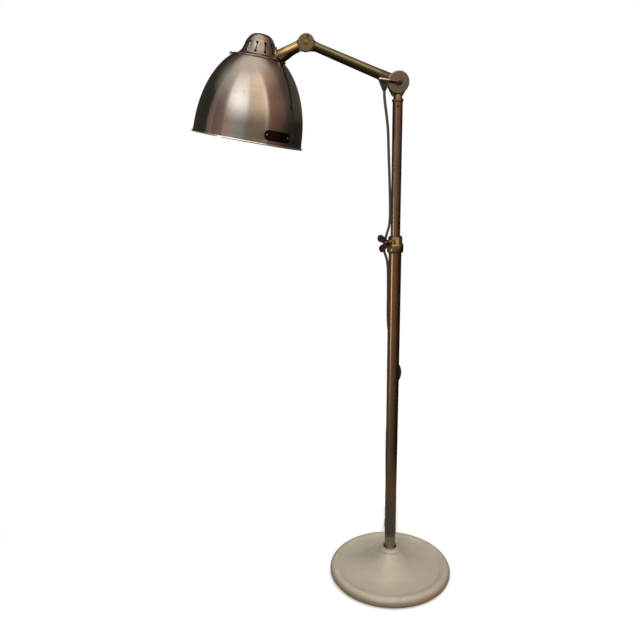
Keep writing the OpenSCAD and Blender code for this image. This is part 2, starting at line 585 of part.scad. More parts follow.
// the lead bends from the gland into the arm
wire_bend = 6;
wire_cut = wire_bend * tan((90 - arm_angle) / 2);
wire_z = corner_z - wire_cut;
wire_end = body2 - 3.5;
module arm_wire() color("black") swept([
    [exit_x, 0, exit_z - gland_len], [exit_x, 0, wire_z],
    for (a = [15 : 13 : 56]) [exit_x - wire_bend + wire_bend * cos(a), 0, wire_z + wire_bend * sin(a)],
    [exit_x - wire_cut * cos(arm_angle), 0, wire_z + wire_cut + wire_cut * sin(arm_angle)],
    [-wire_end * cos(arm_angle), 0, elbow_z + wire_end * sin(arm_angle)]],
    cord_r, 8, [0, 1, 0], [0, 0, 1], [-cos(arm_angle), 0, sin(arm_angle)]);

// --- head joint: the arm carries the rear disc, the shade's neck the front disc
module head_washer() color("sienna") at_arm() translate([-arm_len, 0, 0]) difference() {
    along_y(-face_gap + 0.05, face_gap - 0.05, head_r - 3);
    along_y(-1, 1, head_screw_d / 2 + 0.3);
}

module head_screw() color([0.7, 0.6, 0.42]) at_arm() translate([-arm_len, -head_t - face_gap - 0.05, 0])
    rotate([90, 35, 0]) cheese_screw(4.6, 2.8, head_screw_d / 2, 2 * head_t + face_gap + 2, 1.2);

function cap_profile() = [   // outer radius and height over the cap's seat
    [49.8, 0], [49.8, 1.2], [48.6, 1.4], [45, 2.8], [41.6, 4.4], [38.6, 6.3], [36, 9], [33.9, 12],
    [32, 15.6], [30.6, 19], [29.2, 23], [28, 27], [26.2, 30.5], [24, 33.6], [21.4, 37], [18, 39.8],
    [13.5, 41.9], [7, 43.1], [0, 43.5]];
function cap_point(i, more) = let (q = cap_profile()[i])
    [max(0, q[0] * neck_r / 50.5 + (i == len(cap_profile()) - 1 ? 0 : more)), cap_z + q[1] * cap_h / 43.5 + more];
function cap_curve(more, from = 0) = [for (i = [from : len(cap_profile()) - 1]) cap_point(i, more)];

module cap_solid(more) rotate_extrude() polygon([[0, cap_z - 24], [neck_r + 3, cap_z - 24],
    each cap_curve(more)]);

// disc and conical neck, cut off at the cap's wall
module neck_body() difference() {
    union() {
        at_head() rotate([90, 0, 0]) rotate_extrude() polygon([
            [0, face_gap], [head_r, face_gap], [head_r, face_gap + head_t - 1.2],
            [head_r - 0.4, face_gap + head_t - 0.4], [head_r - 1.2, face_gap + head_t],
            [0, face_gap + head_t]]);
        at_neck() {
            translate([0, -face_gap, 0]) rotate([90, 0, 0]) linear_extrude(head_t - 1.6) polygon([
                [0, head_r - 2.5], [-head_r - 3, stub_d1 / 2 - 0.2], [-head_r - 3, -stub_d1 / 2 + 0.2],
                [0, -head_r + 2.5]]);
            towards_elbow_side(head_r + 0.8, wall_t + 8, stub_d1 / 2, stub_d2 / 2);
            // the neck swells downwards where it meets the cap
            translate([-head_r - 10, 0, -1.2]) rotate([0, -6, 0])
                towards_elbow_side(0, wall_t - head_r - 4, stub_d1 / 2 - 1.5, stub_d2 / 2);
        }
    }
    at_shade() cap_solid(0.1);
    at_head() {
        along_y(-30, 10, head_screw_d / 2 + running_gap);
        along_y(-face_gap, 20, head_r + 0.6);
        // slit at the top of the disc and the curved recess under the screw
        rotate([0, 6, 0]) translate([-0.9, -head_t - face_gap - 1, 5]) cube([1.8, 4.5, head_r]);
        translate([0, -head_t - face_gap + 0.8, 0]) rotate([90, 0, 0]) linear_extrude(2) difference() {
            circle(8);
            circle(5.8);
            translate([-20, -3]) square([40, 20]);
        }
    }
}
// saddle flange on the cap's wall, and the threaded spigot that goes through it
module neck_saddle() {
    intersection() {
        at_neck() towards_elbow_side(wall_t - 20, wall_t + 20, flange_r, flange_r);
        at_shade() difference() {
            cap_solid(flange_t);
            cap_solid(0.1);
            translate([-2 * neck_r, -neck_r, cap_z - 30]) cube([2 * neck_r, 2 * neck_r, 2 * cap_h + 30]);
            translate([-neck_r, -neck_r, cap_z - 30]) cube([3 * neck_r, 2 * neck_r, 30 + saddle_foot]);
        }
    }
    at_neck() towards_elbow_side(wall_t - 4, wall_t + 8, spigot_r, spigot_r);
}
saddle_foot = 3;                         // the saddle ends above the clamp ring
module head_neck() color([0.62, 0.5, 0.28]) difference() {
    union() {
        neck_body();
        neck_saddle();
    }
    at_neck() towards_elbow_side(head_r + 4, wall_t + 20, wire_hole - 0.5, wire_hole - 0.5);
    at_shade() flange_screw_places() {
        cylinder(h = 20, r = flange_screw_r + seat_gap, center = true);
        cylinder(h = 10, r = 2.9);
    }
}

module flange_screw_places() for (a = [-1, 1]) rotate([0, 0, a * flange_screw_azimuth])
    translate([wall_point[0], 0, wall_point[1]]) rotate([0, 90 - neck_angle, 0])
        translate([0, 0, flange_t + 0.4]) children();

module flange_screws() color([0.7, 0.6, 0.42]) at_shade() flange_screw_places()
    translate([0, 0, 0.02]) cheese_screw(2.5, 1.8, flange_screw_r, 5, 0.8);

// --- vented cap, clamp ring and shade
vent_z = [0.245 * cap_h, 0.58 * cap_h];  // heights of a vent's two round ends
module vent_cut(a) rotate([0, 0, a]) {
    for (h = vent_z) translate([15, 0, cap_z + h]) rotate([0, 90, 0]) cylinder(h = neck_r, r = vent_d / 2);
    translate([15, -vent_slit / 2, cap_z + vent_z[0]]) cube([neck_r, vent_slit, vent_z[1] - vent_z[0]]);
}

module vent_cap() color([0.47, 0.36, 0.3]) at_shade() difference() {
    rotate_extrude() polygon([
        each cap_curve(0),
        [0, cap_z + cap_h - cap_wall],
        for (i = [len(cap_profile()) - 2 : -1 : 3]) cap_point(i, 0) - [cap_wall, cap_wall * 0.6],
        [neck_r - 4.5, cap_z]]);
    // no vents where the neck's saddle sits
    for (k = [1 : vent_count - 2]) vent_cut(240 / vent_count + 360 * k / vent_count);
    rotate_spigot() cylinder(h = 30, r = spigot_r + 0.15, center = true);
    flange_screw_places() cylinder(h = 20, r = flange_screw_r + seat_gap, center = true);
}
module rotate_spigot() translate([head_reach, 0, head_h]) rotate([0, -neck_angle, 0])
    translate([-wall_t - 2, 0, 0]) rotate([0, 90, 0]) children();

module cap_ring() color([0.55, 0.45, 0.32]) at_shade() difference() {
    over = cap_point(2, 0)[1] + 0.05;    // just over the cap's flange
    rotate_extrude() polygon([
        [neck_r + 0.2, cap_z - 0.05], [neck_r + 1.1, cap_z - 0.05], [neck_r + 1.6, cap_z + 0.5],
        [neck_r + 1.6, over], [neck_r + 1.1, over + 0.9], [neck_r - 1.7, over + 0.9],
        [neck_r - 1.7, over], [neck_r + 0.2, over]]);
    translate([-neck_r - 5, -0.5, cap_z - 5]) cube([10, 1, 10]);
}

module ring_screw() color([0.75, 0.72, 0.66]) at_shade() translate([-neck_r - 1.8, 0, cap_z + 1.5])
    rotate([0, -70, 0]) difference() {
        union() {
            rotate_extrude() polygon([[0, 0], [2.3, 0], [2.7, 0.7], [2.7, 1.7], [2.3, 2.7], [1.4, 3.5], [0, 3.8]]);
            translate([0, 0, -0.6]) cylinder(h = 1, r = 0.4);
        }
        translate([-4, -0.4, 2.4]) cube([8, 0.8, 3]);
    }

function shade_r(z) = shade_d / 2 * sqrt(max(0, 1 - pow(z / shade_dome_h, 2.1)));
function shade_out(i) = let (z = 3 + (lip_z - 3) * i / 22) [shade_r(z) + flare(z), z];
function flare(z) = z < 14 ? 1.2 * pow(1 - z / 14, 2) : 0;   // the spun wall turns out at the rim
lip_z = cap_z - 0.9;
lip_r = shade_r(lip_z);

module shade() color([0.5, 0.46, 0.43]) at_shade() rotate_extrude($fn = 180) polygon([
    // rolled bead at the rim
    for (a = [150 : -30 : -90]) [shade_r(0) + 1.4 + bead_d / 2 * cos(a), bead_d / 2 + bead_d / 2 * sin(a)],
    [shade_r(0) + 0.6, 0.2], [shade_r(0) + 0.2 - shade_wall, 0.9],
    for (i = [0 : 22]) shade_out(i) - [shade_wall, i < 18 ? 0 : shade_wall * 0.4],
    [lip_r - 2, lip_z], [neck_r - 8.5, lip_z], [neck_r - 8.5, lip_z + shade_wall], [lip_r, lip_z + shade_wall],
    for (i = [22 : -1 : 0]) shade_out(i)]);

// --- lamp holder inside the cap
module neck_nut() color("gray") at_neck() translate([-foot_t - strap_t - 3.5, 0, 0]) rotate([0, 90, 0])
    hex_ring(0, 3.4, 14, spigot_r + seat_gap);

// a point in the plane of the neck, t along it from the head joint and s across it, upwards
function neck_point(t, s) = [head_reach, head_h] + t * [-cos(neck_angle), -sin(neck_angle)]
    + s * [-sin(neck_angle), cos(neck_angle)];
foot_t = wall_t + 2.8;                   // the strap's foot, just inside the cap's wall
function strap_bend(t, z) = neck_point(t, (z - head_h + t * sin(neck_angle)) / cos(neck_angle));

module holder_strap() color("silver") at_shade() difference() {
    translate([0, strap_w / 2, 0]) rotate([90, 0, 0]) linear_extrude(strap_w) polygon([
        neck_point(foot_t, -9), strap_bend(foot_t, strap_z + strap_t), [-9, strap_z + strap_t],
        [-9, strap_z], strap_bend(foot_t + strap_t, strap_z), neck_point(foot_t + strap_t, -9)]);
    rotate_spigot() cylinder(h = 30, r = spigot_r + seat_gap, center = true);
    translate([0, 0, strap_z - 1]) cylinder(h = 4, r = 5);
}

module holder_nipple() color("gold") at_shade() ring(holder_top - 6, strap_z + 8, 3.4, 4.9, 0.3);
module nipple_nut() color("gold") at_shade() hex_ring(strap_z + strap_t + 0.05, strap_z + strap_t + 3.5, 13, 5);

module holder_cover() color([0.7, 0.58, 0.35]) at_shade() difference() {
    rotate_extrude() polygon([
        [5, holder_top], [9, holder_top], [14, holder_top - 2.5], [holder_r - 2.5, holder_top - 8],
        [holder_r - 0.5, holder_top - 14], [holder_r - 0.5, holder_top - 27], [holder_r - 1.3, holder_top - 27],
        [holder_r - 1.3, holder_top - 14.4], [holder_r - 3.2, holder_top - 8.8], [13.4, holder_top - 3.5],
        [8.6, holder_top - 1], [5, holder_top - 1]]);
}

module holder_insert() color("white") at_shade() rotate_extrude() polygon([
    [3.6, holder_top - 10], [holder_r - 5.5, holder_top - 10], [holder_r - 3.6, holder_top - 14],
    [holder_r - 1.6, holder_top - 15], [holder_r - 1.6, holder_top - 33], [screw_cap_d / 2 + 0.6, holder_top - 33],
    [screw_cap_d / 2 + 0.6, bulb_top + 1.2], [3.6, bulb_top + 1.2]]);

module holder_ring() color([0.7, 0.58, 0.35]) at_shade() rotate_extrude() polygon([
    [holder_r - 1.2, holder_top - 27.2], [holder_r, holder_top - 27.2], [holder_r, holder_top - 34],
    [holder_r - 1.6, holder_top - 36], [holder_r - 1.6, ring_z + 2], [holder_r - 0.4, ring_z + 1.2],
    [holder_r - 0.4, ring_z], [screw_cap_d / 2 + 0.5, ring_z], [screw_cap_d / 2 + 0.5, holder_top - 33.2],
    [holder_r - 1.2, holder_top - 33.2]]);

head_wire_route = [[61.5, 0, 175.6], [34, 0, 157.3], [27, 1, 153.6], [22.8, 6, 155.5], [20.5, 10.5, 162],
    [17, 11.5, 171], [11, 9, 179.5], [4, 3.5, 181.5], [0, 0, 177], [0, 0, 163]];
module head_wire() color("black") at_shade()
    swept(smooth(head_wire_route, 2), 2.4, 8, [0, 1, 0.2], [-cos(neck_angle), 0, -sin(neck_angle)], [0, 0, -1]);

module bulb_cap() color("silver") at_shade() rotate_extrude() polygon([
    [0, bulb_top], [4.6, bulb_top], [5.2, bulb_top - 1.4], [screw_cap_d / 2 - 1.6, bulb_top - 4],
    for (k = [0 : 4]) each [[screw_cap_d / 2, bulb_top - 5.6 - 3.6 * k], [screw_cap_d / 2 - 0.8, bulb_top - 7.4 - 3.6 * k]],
    [screw_cap_d / 2, bulb_top - 25.2], [screw_cap_d / 2, bulb_top - 27], [0, bulb_top - 27]]);

glass_c = bulb_top - bulb_len + bulb_d / 2;      // centre of the bulb's round end
module bulb_glass() color([0.95, 0.95, 0.9]) at_shade() rotate_extrude() polygon([
    [0, bulb_top - 27.05], [screw_cap_d / 2 - 0.3, bulb_top - 27.05], [screw_cap_d / 2 + 0.6, bulb_top - 33],
    [screw_cap_d / 2 + 3, bulb_top - 39], [screw_cap_d / 2 + 7, bulb_top - 46],
    for (a = [42 : -12 : -78]) [bulb_d / 2 * cos(a), glass_c + bulb_d / 2 * sin(a)],
    [0, glass_c - bulb_d / 2]]);

// --- cord, switch, hank and plug
cord_black = [0.16, 0.16, 0.12];
down = [0, 0, -1];
side = [1, 0, 0];
elbow_end = [0.1, 0.2, -1];
module cord_elbow() color(cord_black) swept(smooth(elbow_route, 2), cord_r, 8, side, down, elbow_end);
// the swivel's stretch starts a hair below the elbow's
swivel_points = [for (i = [0 : 12]) smooth(swivel_route, 2)[i] + (i == 0 ? 0.05 : 0) * unit(elbow_end)];
module cord_swivel() color(cord_black) swept(swivel_points, cord_r, 8, side, elbow_end, down);
module cord_upper() color(cord_black) swept(upper_route, cord_r, 8, side, down, down);
module cord_lower() color(cord_black) swept(smooth(lower_route, 2), cord_r, 8, side, down, down);
module cord_floor() color(cord_black) swept(floor_route, cord_r, 8, side, down, hank_out);
module cord_tail() color(cord_black) swept(smooth(tail_route, 2), cord_r, 8, side, hank_out, [0, 1, 0]);
module cord_hank() color(cord_black) translate(hank_at) rotate([0, 0, sight])
    swept(hank_points(), cord_r, 6, [0, 0, 1], [0, 1, 0], [0, 1, 0]);
hank_out = [-sin(sight), cos(sight), 0];

module hank_tie() color([0.2, 0.2, 0.2]) translate(hank_at) rotate([0, 0, sight])
    translate([0, tie_w / 2, 0]) rotate([90, 0, 0]) linear_extrude(tie_w) difference() {
        half = waist_r + cord_r + 0.7;
        top = hank_z + pass * hank_loops + cord_r + 0.3;
        translate([-half - tie_t, 0]) square([2 * (half + tie_t), top + tie_t]);
        translate([-half, tie_t]) square([2 * half, top - tie_t]);
    }

// eye-shaped housing, in the XZ plane
module switch_outline(inset = 0) {
    r = (pow(switch_len / 2, 2) + pow(switch_w / 2, 2)) / switch_w;
    intersection() {
        translate([r - switch_w / 2, 0]) circle(r - inset);
        translate([switch_w / 2 - r, 0]) circle(r - inset);
    }
}
module switch_half(y0, y1) translate(switch_c) difference() {
    union() {
        translate([0, y1, 0]) rotate([90, 0, 0]) linear_extrude(y1 - y0) intersection() {
            switch_outline();
            square([switch_w + 2, switch_len - 10], center = true);
        }
        intersection() {
            translate([0, 0, -switch_len / 2 - grip_len + 0.2]) cylinder(h = switch_len + 2 * grip_len - 0.4, r = cord_r + 2.2);
            translate([-20, y0, -60]) cube([40, y1 - y0, 120]);
        }
    }
    // ways in for the cord, and the rocker's well
    for (s = [0, 1]) mirror([0, 0, s]) translate([0, 0, switch_len / 2 - 8]) cylinder(h = 40, r = cord_r + 0.2);
    translate([-4.4, -4, -10]) cube([8.8, switch_t, 20]);
    for (s = [-1, 1]) translate([0, -20, s * 17]) rotate([-90, 0, 0]) cylinder(h = 40, r = 1.3);
}
module switch_base() color([0.12, 0.1, 0.09]) switch_half(-switch_t / 2, -0.05);
module switch_cover() color([0.12, 0.1, 0.09]) switch_half(0.05, switch_t / 2);
module switch_rocker() color([0.3, 0.27, 0.24]) translate(switch_c) rotate([-7, 0, 0]) intersection() {
    rotate([0, 90, 0]) cylinder(h = 8, r = 9.6, center = true);
    rotate([0, 90, 0]) linear_extrude(8, center = true) polygon([[-9, -1], [9, -1], [9, 9.2], [7, 9.4],
        [0, 8.4], [-7, 9.4], [-9, 9.2]]);
}
module switch_screws() color("gray") for (s = [-1, 1])
    translate(switch_c + [0, switch_t / 2 + 0.02, s * 17]) rotate([-90, 0, 0]) cheese_screw(2.4, 1.4, 1.2, 8, 0.8);

plug_at = [tail_route[4][0], tail_route[4][1], plug_t / 2];
module plug_body() color([0.12, 0.1, 0.09]) translate(plug_at) difference() {
    union() {
        translate([0, 0.05, 0]) rotate([-90, 0, 0]) cylinder(h = 12, r1 = cord_r + 1, r2 = cord_r + 1.8);
        hull() {
            translate([0, 9, 0]) rotate([-90, 0, 0]) cylinder(h = 1, r = cord_r + 1.8, $fn = 32);
            for (s = [-1, 1]) translate([s * (plug_w - plug_t) / 2, 20, 0]) rotate([-90, 0, 0])
                cylinder(h = 18, r = plug_t / 2, $fn = 32);
        }
    }
    for (s = [-1, 1]) translate([s * 9.3, 30, 0]) rotate([-90, 0, 0]) cylinder(h = 10, r = 2.1);
}
module plug_pins() color("silver") translate(plug_at) for (s = [-1, 1]) translate([s * 9.3, 30.1, 0])
    rotate([-90, 0, 0]) { cylinder(h = 26, r = 2); translate([0, 0, 26]) cylinder(h = 1, r1 = 2, r2 = 1.2); }

base_casting();
base_washer();
base_locknut();
pole_foot_plug();
pole_foot_ring();
lower_tube();
clamp_collar();
collar_bush();
collar_screw();
wing_screw();
guide_sleeve();
upper_tube();
sleeve_ring();
sleeve_plug();
neck_casting();
neck_grub_screw();
elbow_bolt();
elbow_washer();
elbow_lever();
arm_elbow_knuckle();
cord_gland();
arm_tube();
arm_head_knuckle();
arm_wire();
head_washer();
head_screw();
head_neck();
flange_screws();
vent_cap();
cap_ring();
ring_screw();
shade();
neck_nut();
holder_strap();
holder_nipple();
nipple_nut();
holder_cover();
holder_insert();
holder_ring();
head_wire();
bulb_cap();
bulb_glass();
cord_elbow();
cord_swivel();
cord_upper();
switch_base();
switch_cover();
switch_rocker();
switch_screws();
cord_lower();
cord_floor();
cord_hank();
hank_tie();
cord_tail();
plug_body();
plug_pins();
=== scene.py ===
import json
import math

import bmesh
import bpy
from mathutils import Matrix, Vector


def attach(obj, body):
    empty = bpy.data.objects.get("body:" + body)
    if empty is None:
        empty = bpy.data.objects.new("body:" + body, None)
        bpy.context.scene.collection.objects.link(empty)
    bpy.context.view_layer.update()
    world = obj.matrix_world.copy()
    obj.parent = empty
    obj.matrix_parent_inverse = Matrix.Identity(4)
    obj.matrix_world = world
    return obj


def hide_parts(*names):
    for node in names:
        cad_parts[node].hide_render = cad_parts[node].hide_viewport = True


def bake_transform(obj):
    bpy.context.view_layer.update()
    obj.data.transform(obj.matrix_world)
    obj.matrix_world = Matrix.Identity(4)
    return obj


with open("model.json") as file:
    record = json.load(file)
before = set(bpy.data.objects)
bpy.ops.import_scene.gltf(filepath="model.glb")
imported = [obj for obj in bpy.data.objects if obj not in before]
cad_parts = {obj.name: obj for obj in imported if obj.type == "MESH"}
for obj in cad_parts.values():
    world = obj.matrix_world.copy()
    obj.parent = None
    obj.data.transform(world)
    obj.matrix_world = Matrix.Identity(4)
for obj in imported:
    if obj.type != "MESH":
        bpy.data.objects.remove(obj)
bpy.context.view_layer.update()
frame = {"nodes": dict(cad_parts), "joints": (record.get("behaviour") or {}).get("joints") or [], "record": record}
scene = bpy.context.scene
print("frame loaded:", len(frame["nodes"]), "nodes")

# the arm's two pins are where the frame's joints turn
pins = {joint["name"]: Vector(joint["pos_m"]) for joint in frame["joints"]}
elbowPin, headPin = pins["elbow"], pins["head_tilt"]

# the shade's own frame: origin at the rim's centre, +Z along its axis
shadeTilt = math.radians(12)
headPinInShade = Vector((0.084, 0, 0.1905))
shadeFrame = (Matrix.Translation(headPin) @ Matrix.Rotation(shadeTilt, 4, "Y")
              @ Matrix.Translation(-headPinInShade))
# its wall's outline: radius at the rim, the height at which it would close, and the curve's power
shadeCurve = {"radius": 0.1075, "closing": 0.1665, "power": 2.1}


def addNode(tree, kind, place=(0, 0), settings=None, inputs=None):
    item = tree.nodes.new(kind)
    item.location = place
    for key, value in (settings or {}).items():
        setattr(item, key, value)
    for key, value in (inputs or {}).items():
        if hasattr(value, "is_output"):
            tree.links.new(value, item.inputs[key])
        else:
            item.inputs[key].default_value = value
    return item


def mathNode(tree, operation, first, second=0.0):
    return addNode(tree, "ShaderNodeMath", settings={"operation": operation},
                   inputs={0: first, 1: second}).outputs[0]


def vectorMath(tree, operation, first, second=(0, 0, 0)):
    item = addNode(tree, "ShaderNodeVectorMath", settings={"operation": operation},
                   inputs={0: first, 1: second})
    return item.outputs["Value" if operation in ("LENGTH", "DISTANCE", "DOT_PRODUCT") else "Vector"]


def splitVector(tree, vector):
    return addNode(tree, "ShaderNodeSeparateXYZ", inputs={0: vector}).outputs


# a split position without its height: the way from the axis out to it
def outFromAxis(tree, split):
    return addNode(tree, "ShaderNodeCombineXYZ", inputs={0: split[0], 1: split[1]}).outputs[0]


def remap(tree, value, low, high, toLow=0.0, toHigh=1.0):
    return addNode(tree, "ShaderNodeMapRange", settings={"interpolation_type": "SMOOTHSTEP"}, inputs={
        0: value, 1: low, 2: high, 3: toLow, 4: toHigh}).outputs[0]


def mixColour(tree, factor, first, second):
    colours = [value if hasattr(value, "is_output") else (*value, 1) for value in (first, second)]
    return addNode(tree, "ShaderNodeMix", settings={"data_type": "RGBA"}, inputs={
        0: factor, 6: colours[0], 7: colours[1]}).outputs[2]


def noiseNode(tree, vector, scale, detail=4.0, rough=0.55, distortion=0.0):
    return addNode(tree, "ShaderNodeTexNoise", inputs={
        "Vector": vector, "Scale": scale, "Detail": detail, "Roughness": rough,
        "Distortion": distortion}).outputs[0]


def newGroup(name, inputs, outputs):
    tree = bpy.data.node_groups.new(name, "ShaderNodeTree")
    for socketName, socketType, default in inputs:
        socket = tree.interface.new_socket(name=socketName, in_out="INPUT", socket_type=socketType)
        if default is not None:
            socket.default_value = default
    for socketName, socketType in outputs:
        tree.interface.new_socket(name=socketName, in_out="OUTPUT", socket_type=socketType)
    return tree, tree.nodes.new("NodeGroupInput"), tree.nodes.new("NodeGroupOutput")


# patina: cloudy darkening, small spots and fine scratches, all from a position in metres
patinaTree, patinaIn, patinaOut = newGroup("patina", [
    ("Vector", "NodeSocketVector", None), ("Cloud Scale", "NodeSocketFloat", 9.0),
    ("Spot Scale", "NodeSocketFloat", 160.0), ("Spot Amount", "NodeSocketFloat", 0.5),
], [("Cloud", "NodeSocketFloat"), ("Spots", "NodeSocketFloat"), ("Scratches", "NodeSocketFloat")])
patinaVector = patinaIn.outputs["Vector"]
cloud = noiseNode(patinaTree, patinaVector, patinaIn.outputs["Cloud Scale"], 6.0, 0.6, 0.4)
patinaTree.links.new(remap(patinaTree, cloud, 0.32, 0.7), patinaOut.inputs["Cloud"])
spot = noiseNode(patinaTree, patinaVector, patinaIn.outputs["Spot Scale"], 3.0, 0.6)
spotShare = remap(patinaTree, spot, 0.6, 0.72)
patinaTree.links.new(mathNode(patinaTree, "MULTIPLY", spotShare, patinaIn.outputs["Spot Amount"]),
                     patinaOut.inputs["Spots"])
stretched = addNode(patinaTree, "ShaderNodeMapping", inputs={"Vector": patinaVector, "Scale": (260, 260, 25)})
scratch = noiseNode(patinaTree, stretched.outputs[0], 4.0, 3.0, 0.7, 1.5)
patinaTree.links.new(remap(patinaTree, scratch, 0.58, 0.66), patinaOut.inputs["Scratches"])

# spun metal: fine rings round an axis, from a position in the turned part's own frame
spunTree, spunIn, spunOut = newGroup("spunRings", [
    ("Vector", "NodeSocketVector", None), ("Scale", "NodeSocketFloat", 900.0),
], [("Rings", "NodeSocketFloat"), ("Broad", "NodeSocketFloat")])
spunSplit = splitVector(spunTree, spunIn.outputs["Vector"])
spunWobble = noiseNode(spunTree, spunIn.outputs["Vector"], 14.0, 2.0)
spunHeight = mathNode(spunTree, "ADD", spunSplit[2], mathNode(spunTree, "MULTIPLY", spunWobble, 0.0006))
spunLine = addNode(spunTree, "ShaderNodeCombineXYZ", inputs={2: spunHeight})
spunTree.links.new(noiseNode(spunTree, spunLine.outputs[0], spunIn.outputs["Scale"], 4.0, 0.8),
                   spunOut.inputs["Rings"])
spunTree.links.new(noiseNode(spunTree, spunLine.outputs[0], 70.0, 3.0, 0.5), spunOut.inputs["Broad"])


def groupNode(tree, group, inputs):
    return addNode(tree, "ShaderNodeGroup", settings={"node_tree": group}, inputs=inputs).outputs


def startMaterial(name):
    material = bpy.data.materials.new(name)
    material.use_nodes = True
    tree = material.node_tree
    tree.nodes.clear()
    output = addNode(tree, "ShaderNodeOutputMaterial", (700, 0))
    shader = addNode(tree, "ShaderNodeBsdfPrincipled", (400, 0))
    tree.links.new(shader.outputs[0], output.inputs[0])
    return material, tree, shader


def bumpInto(tree, shader, height, distance):
    bump = addNode(tree, "ShaderNodeBump", inputs={"Height": height, "Distance": distance, "Strength": 1.0})
    tree.links.new(bump.outputs[0], shader.inputs["Normal"])
    return bump


def objectPosition(tree, matrix=None):
    coordinates = addNode(tree, "ShaderNodeTexCoord").outputs["Object"]
    if matrix is None:
        return coordinates
    back = matrix.inverted()
    return addNode(tree, "ShaderNodeMapping", inputs={
        "Vector": coordinates, "Location": back.to_translation(), "Rotation": back.to_euler()}).outputs[0]


# what all metals share
metalFinish = {"spotScale": 160.0, "spotRough": 0.2, "scratchRough": 0.06, "zoneEdge": 0.0008,
               "bump": 0.000008}


# a patinated metal; look gives its colours and finish
def metalMaterial(name, look):
    material, tree, shader = startMaterial(name)
    position = objectPosition(tree)
    masks = groupNode(tree, patinaTree, {
        "Vector": position, "Cloud Scale": look["cloudScale"],
        "Spot Scale": metalFinish["spotScale"], "Spot Amount": look["spots"]})
    clean = mixColour(tree, masks["Cloud"], look["bright"], look["dull"])
    colour = mixColour(tree, masks["Spots"], clean, look["stain"])
    if "under" in look:
        # undersides are painted darker: painted shade under the arm, the neck and the lever
        facing = splitVector(tree, addNode(tree, "ShaderNodeTexCoord").outputs["Normal"])[2]
        under = look["under"]
        share = mathNode(tree, "MULTIPLY", remap(tree, facing, *under["facing"]), under["share"])
        colour = mixColour(tree, share, colour, under["colour"])
    for zone in look.get("zones", ()):
        # round the zone's centre the metal has another colour
        away = vectorMath(tree, "DISTANCE", position, zone["centre"])
        edge = zone["radius"] + zone.get("soft", metalFinish["zoneEdge"])
        share = mathNode(tree, "MULTIPLY", remap(tree, away, edge, zone["radius"]),
                         remap(tree, masks["Cloud"], 0.0, 1.0, 1.0, 0.7))
        colour = mixColour(tree, share, colour, zone["colour"])
    # a dark slit painted on the disc: painted shade
    if "slit" in look:
        colour = mixColour(tree, slitMask(tree, look["slit"]), colour, look["slit"]["colour"])
    tree.links.new(colour, shader.inputs["Base Color"])
    shader.inputs["Metallic"].default_value = 1.0
    rough = remap(tree, masks["Cloud"], 0.0, 1.0, *look["rough"])
    rough = mathNode(tree, "ADD", rough, mathNode(tree, "MULTIPLY", masks["Spots"], metalFinish["spotRough"]))
    if "mirroredRough" in look:
        # seen in another mirror, the narrow streak along a tube is spread out
        mirrored = addNode(tree, "ShaderNodeLightPath").outputs["Is Glossy Ray"]
        rough = mathNode(tree, "MAXIMUM", rough, mathNode(tree, "MULTIPLY", mirrored, look["mirroredRough"]))
    scratched = mathNode(tree, "MULTIPLY", masks["Scratches"], metalFinish["scratchRough"])
    tree.links.new(mathNode(tree, "ADD", rough, scratched), shader.inputs["Roughness"])
    if "coat" in look:
        shader.inputs["Coat Weight"].default_value = look["coat"]
        shader.inputs["Coat Roughness"].default_value = look["coatRough"]
    height = mathNode(tree, "ADD", mathNode(tree, "MULTIPLY", masks["Cloud"], 0.5),
                      mathNode(tree, "MULTIPLY", masks["Scratches"], -0.4))
    bumpInto(tree, shader, height, look.get("bump", metalFinish["bump"]))
    return material


# the saw cut across the upper half of a disc is painted as a dark line on its front only: painted shade
def slitMask(tree, slit):
    edge = slit["edge"]
    local = splitVector(tree, objectPosition(tree, slit["frame"]))
    across = mathNode(tree, "ABSOLUTE", local[0])
    upper = remap(tree, local[2], slit["bottom"], slit["bottom"] + 4 * edge)
    inFront = remap(tree, local[1], slit["front"] + edge, slit["front"] + 3 * edge)
    return mathNode(tree, "MULTIPLY", remap(tree, across, slit["half"] + 2 * edge, slit["half"] + edge),
                    mathNode(tree, "MULTIPLY", upper, inFront))


# plastic, porcelain, fibre and glass: one cloudy colour and a fine grain
def plainMaterial(name, look):
    material, tree, shader = startMaterial(name)
    position = objectPosition(tree)
    cloudy = noiseNode(tree, position, 60.0, 5.0, 0.6)
    tree.links.new(mixColour(tree, remap(tree, cloudy, 0.35, 0.7), look["colour"], look["second"]),
                   shader.inputs["Base Color"])
    tree.links.new(remap(tree, cloudy, 0.3, 0.7, look["rough"] - 0.06, look["rough"] + 0.08),
                   shader.inputs["Roughness"])
    bumpInto(tree, shader, noiseNode(tree, position, 900.0, 3.0), look["bump"])
    for key, value in look.get("more", {}).items():
        shader.inputs[key].default_value = value
    return material


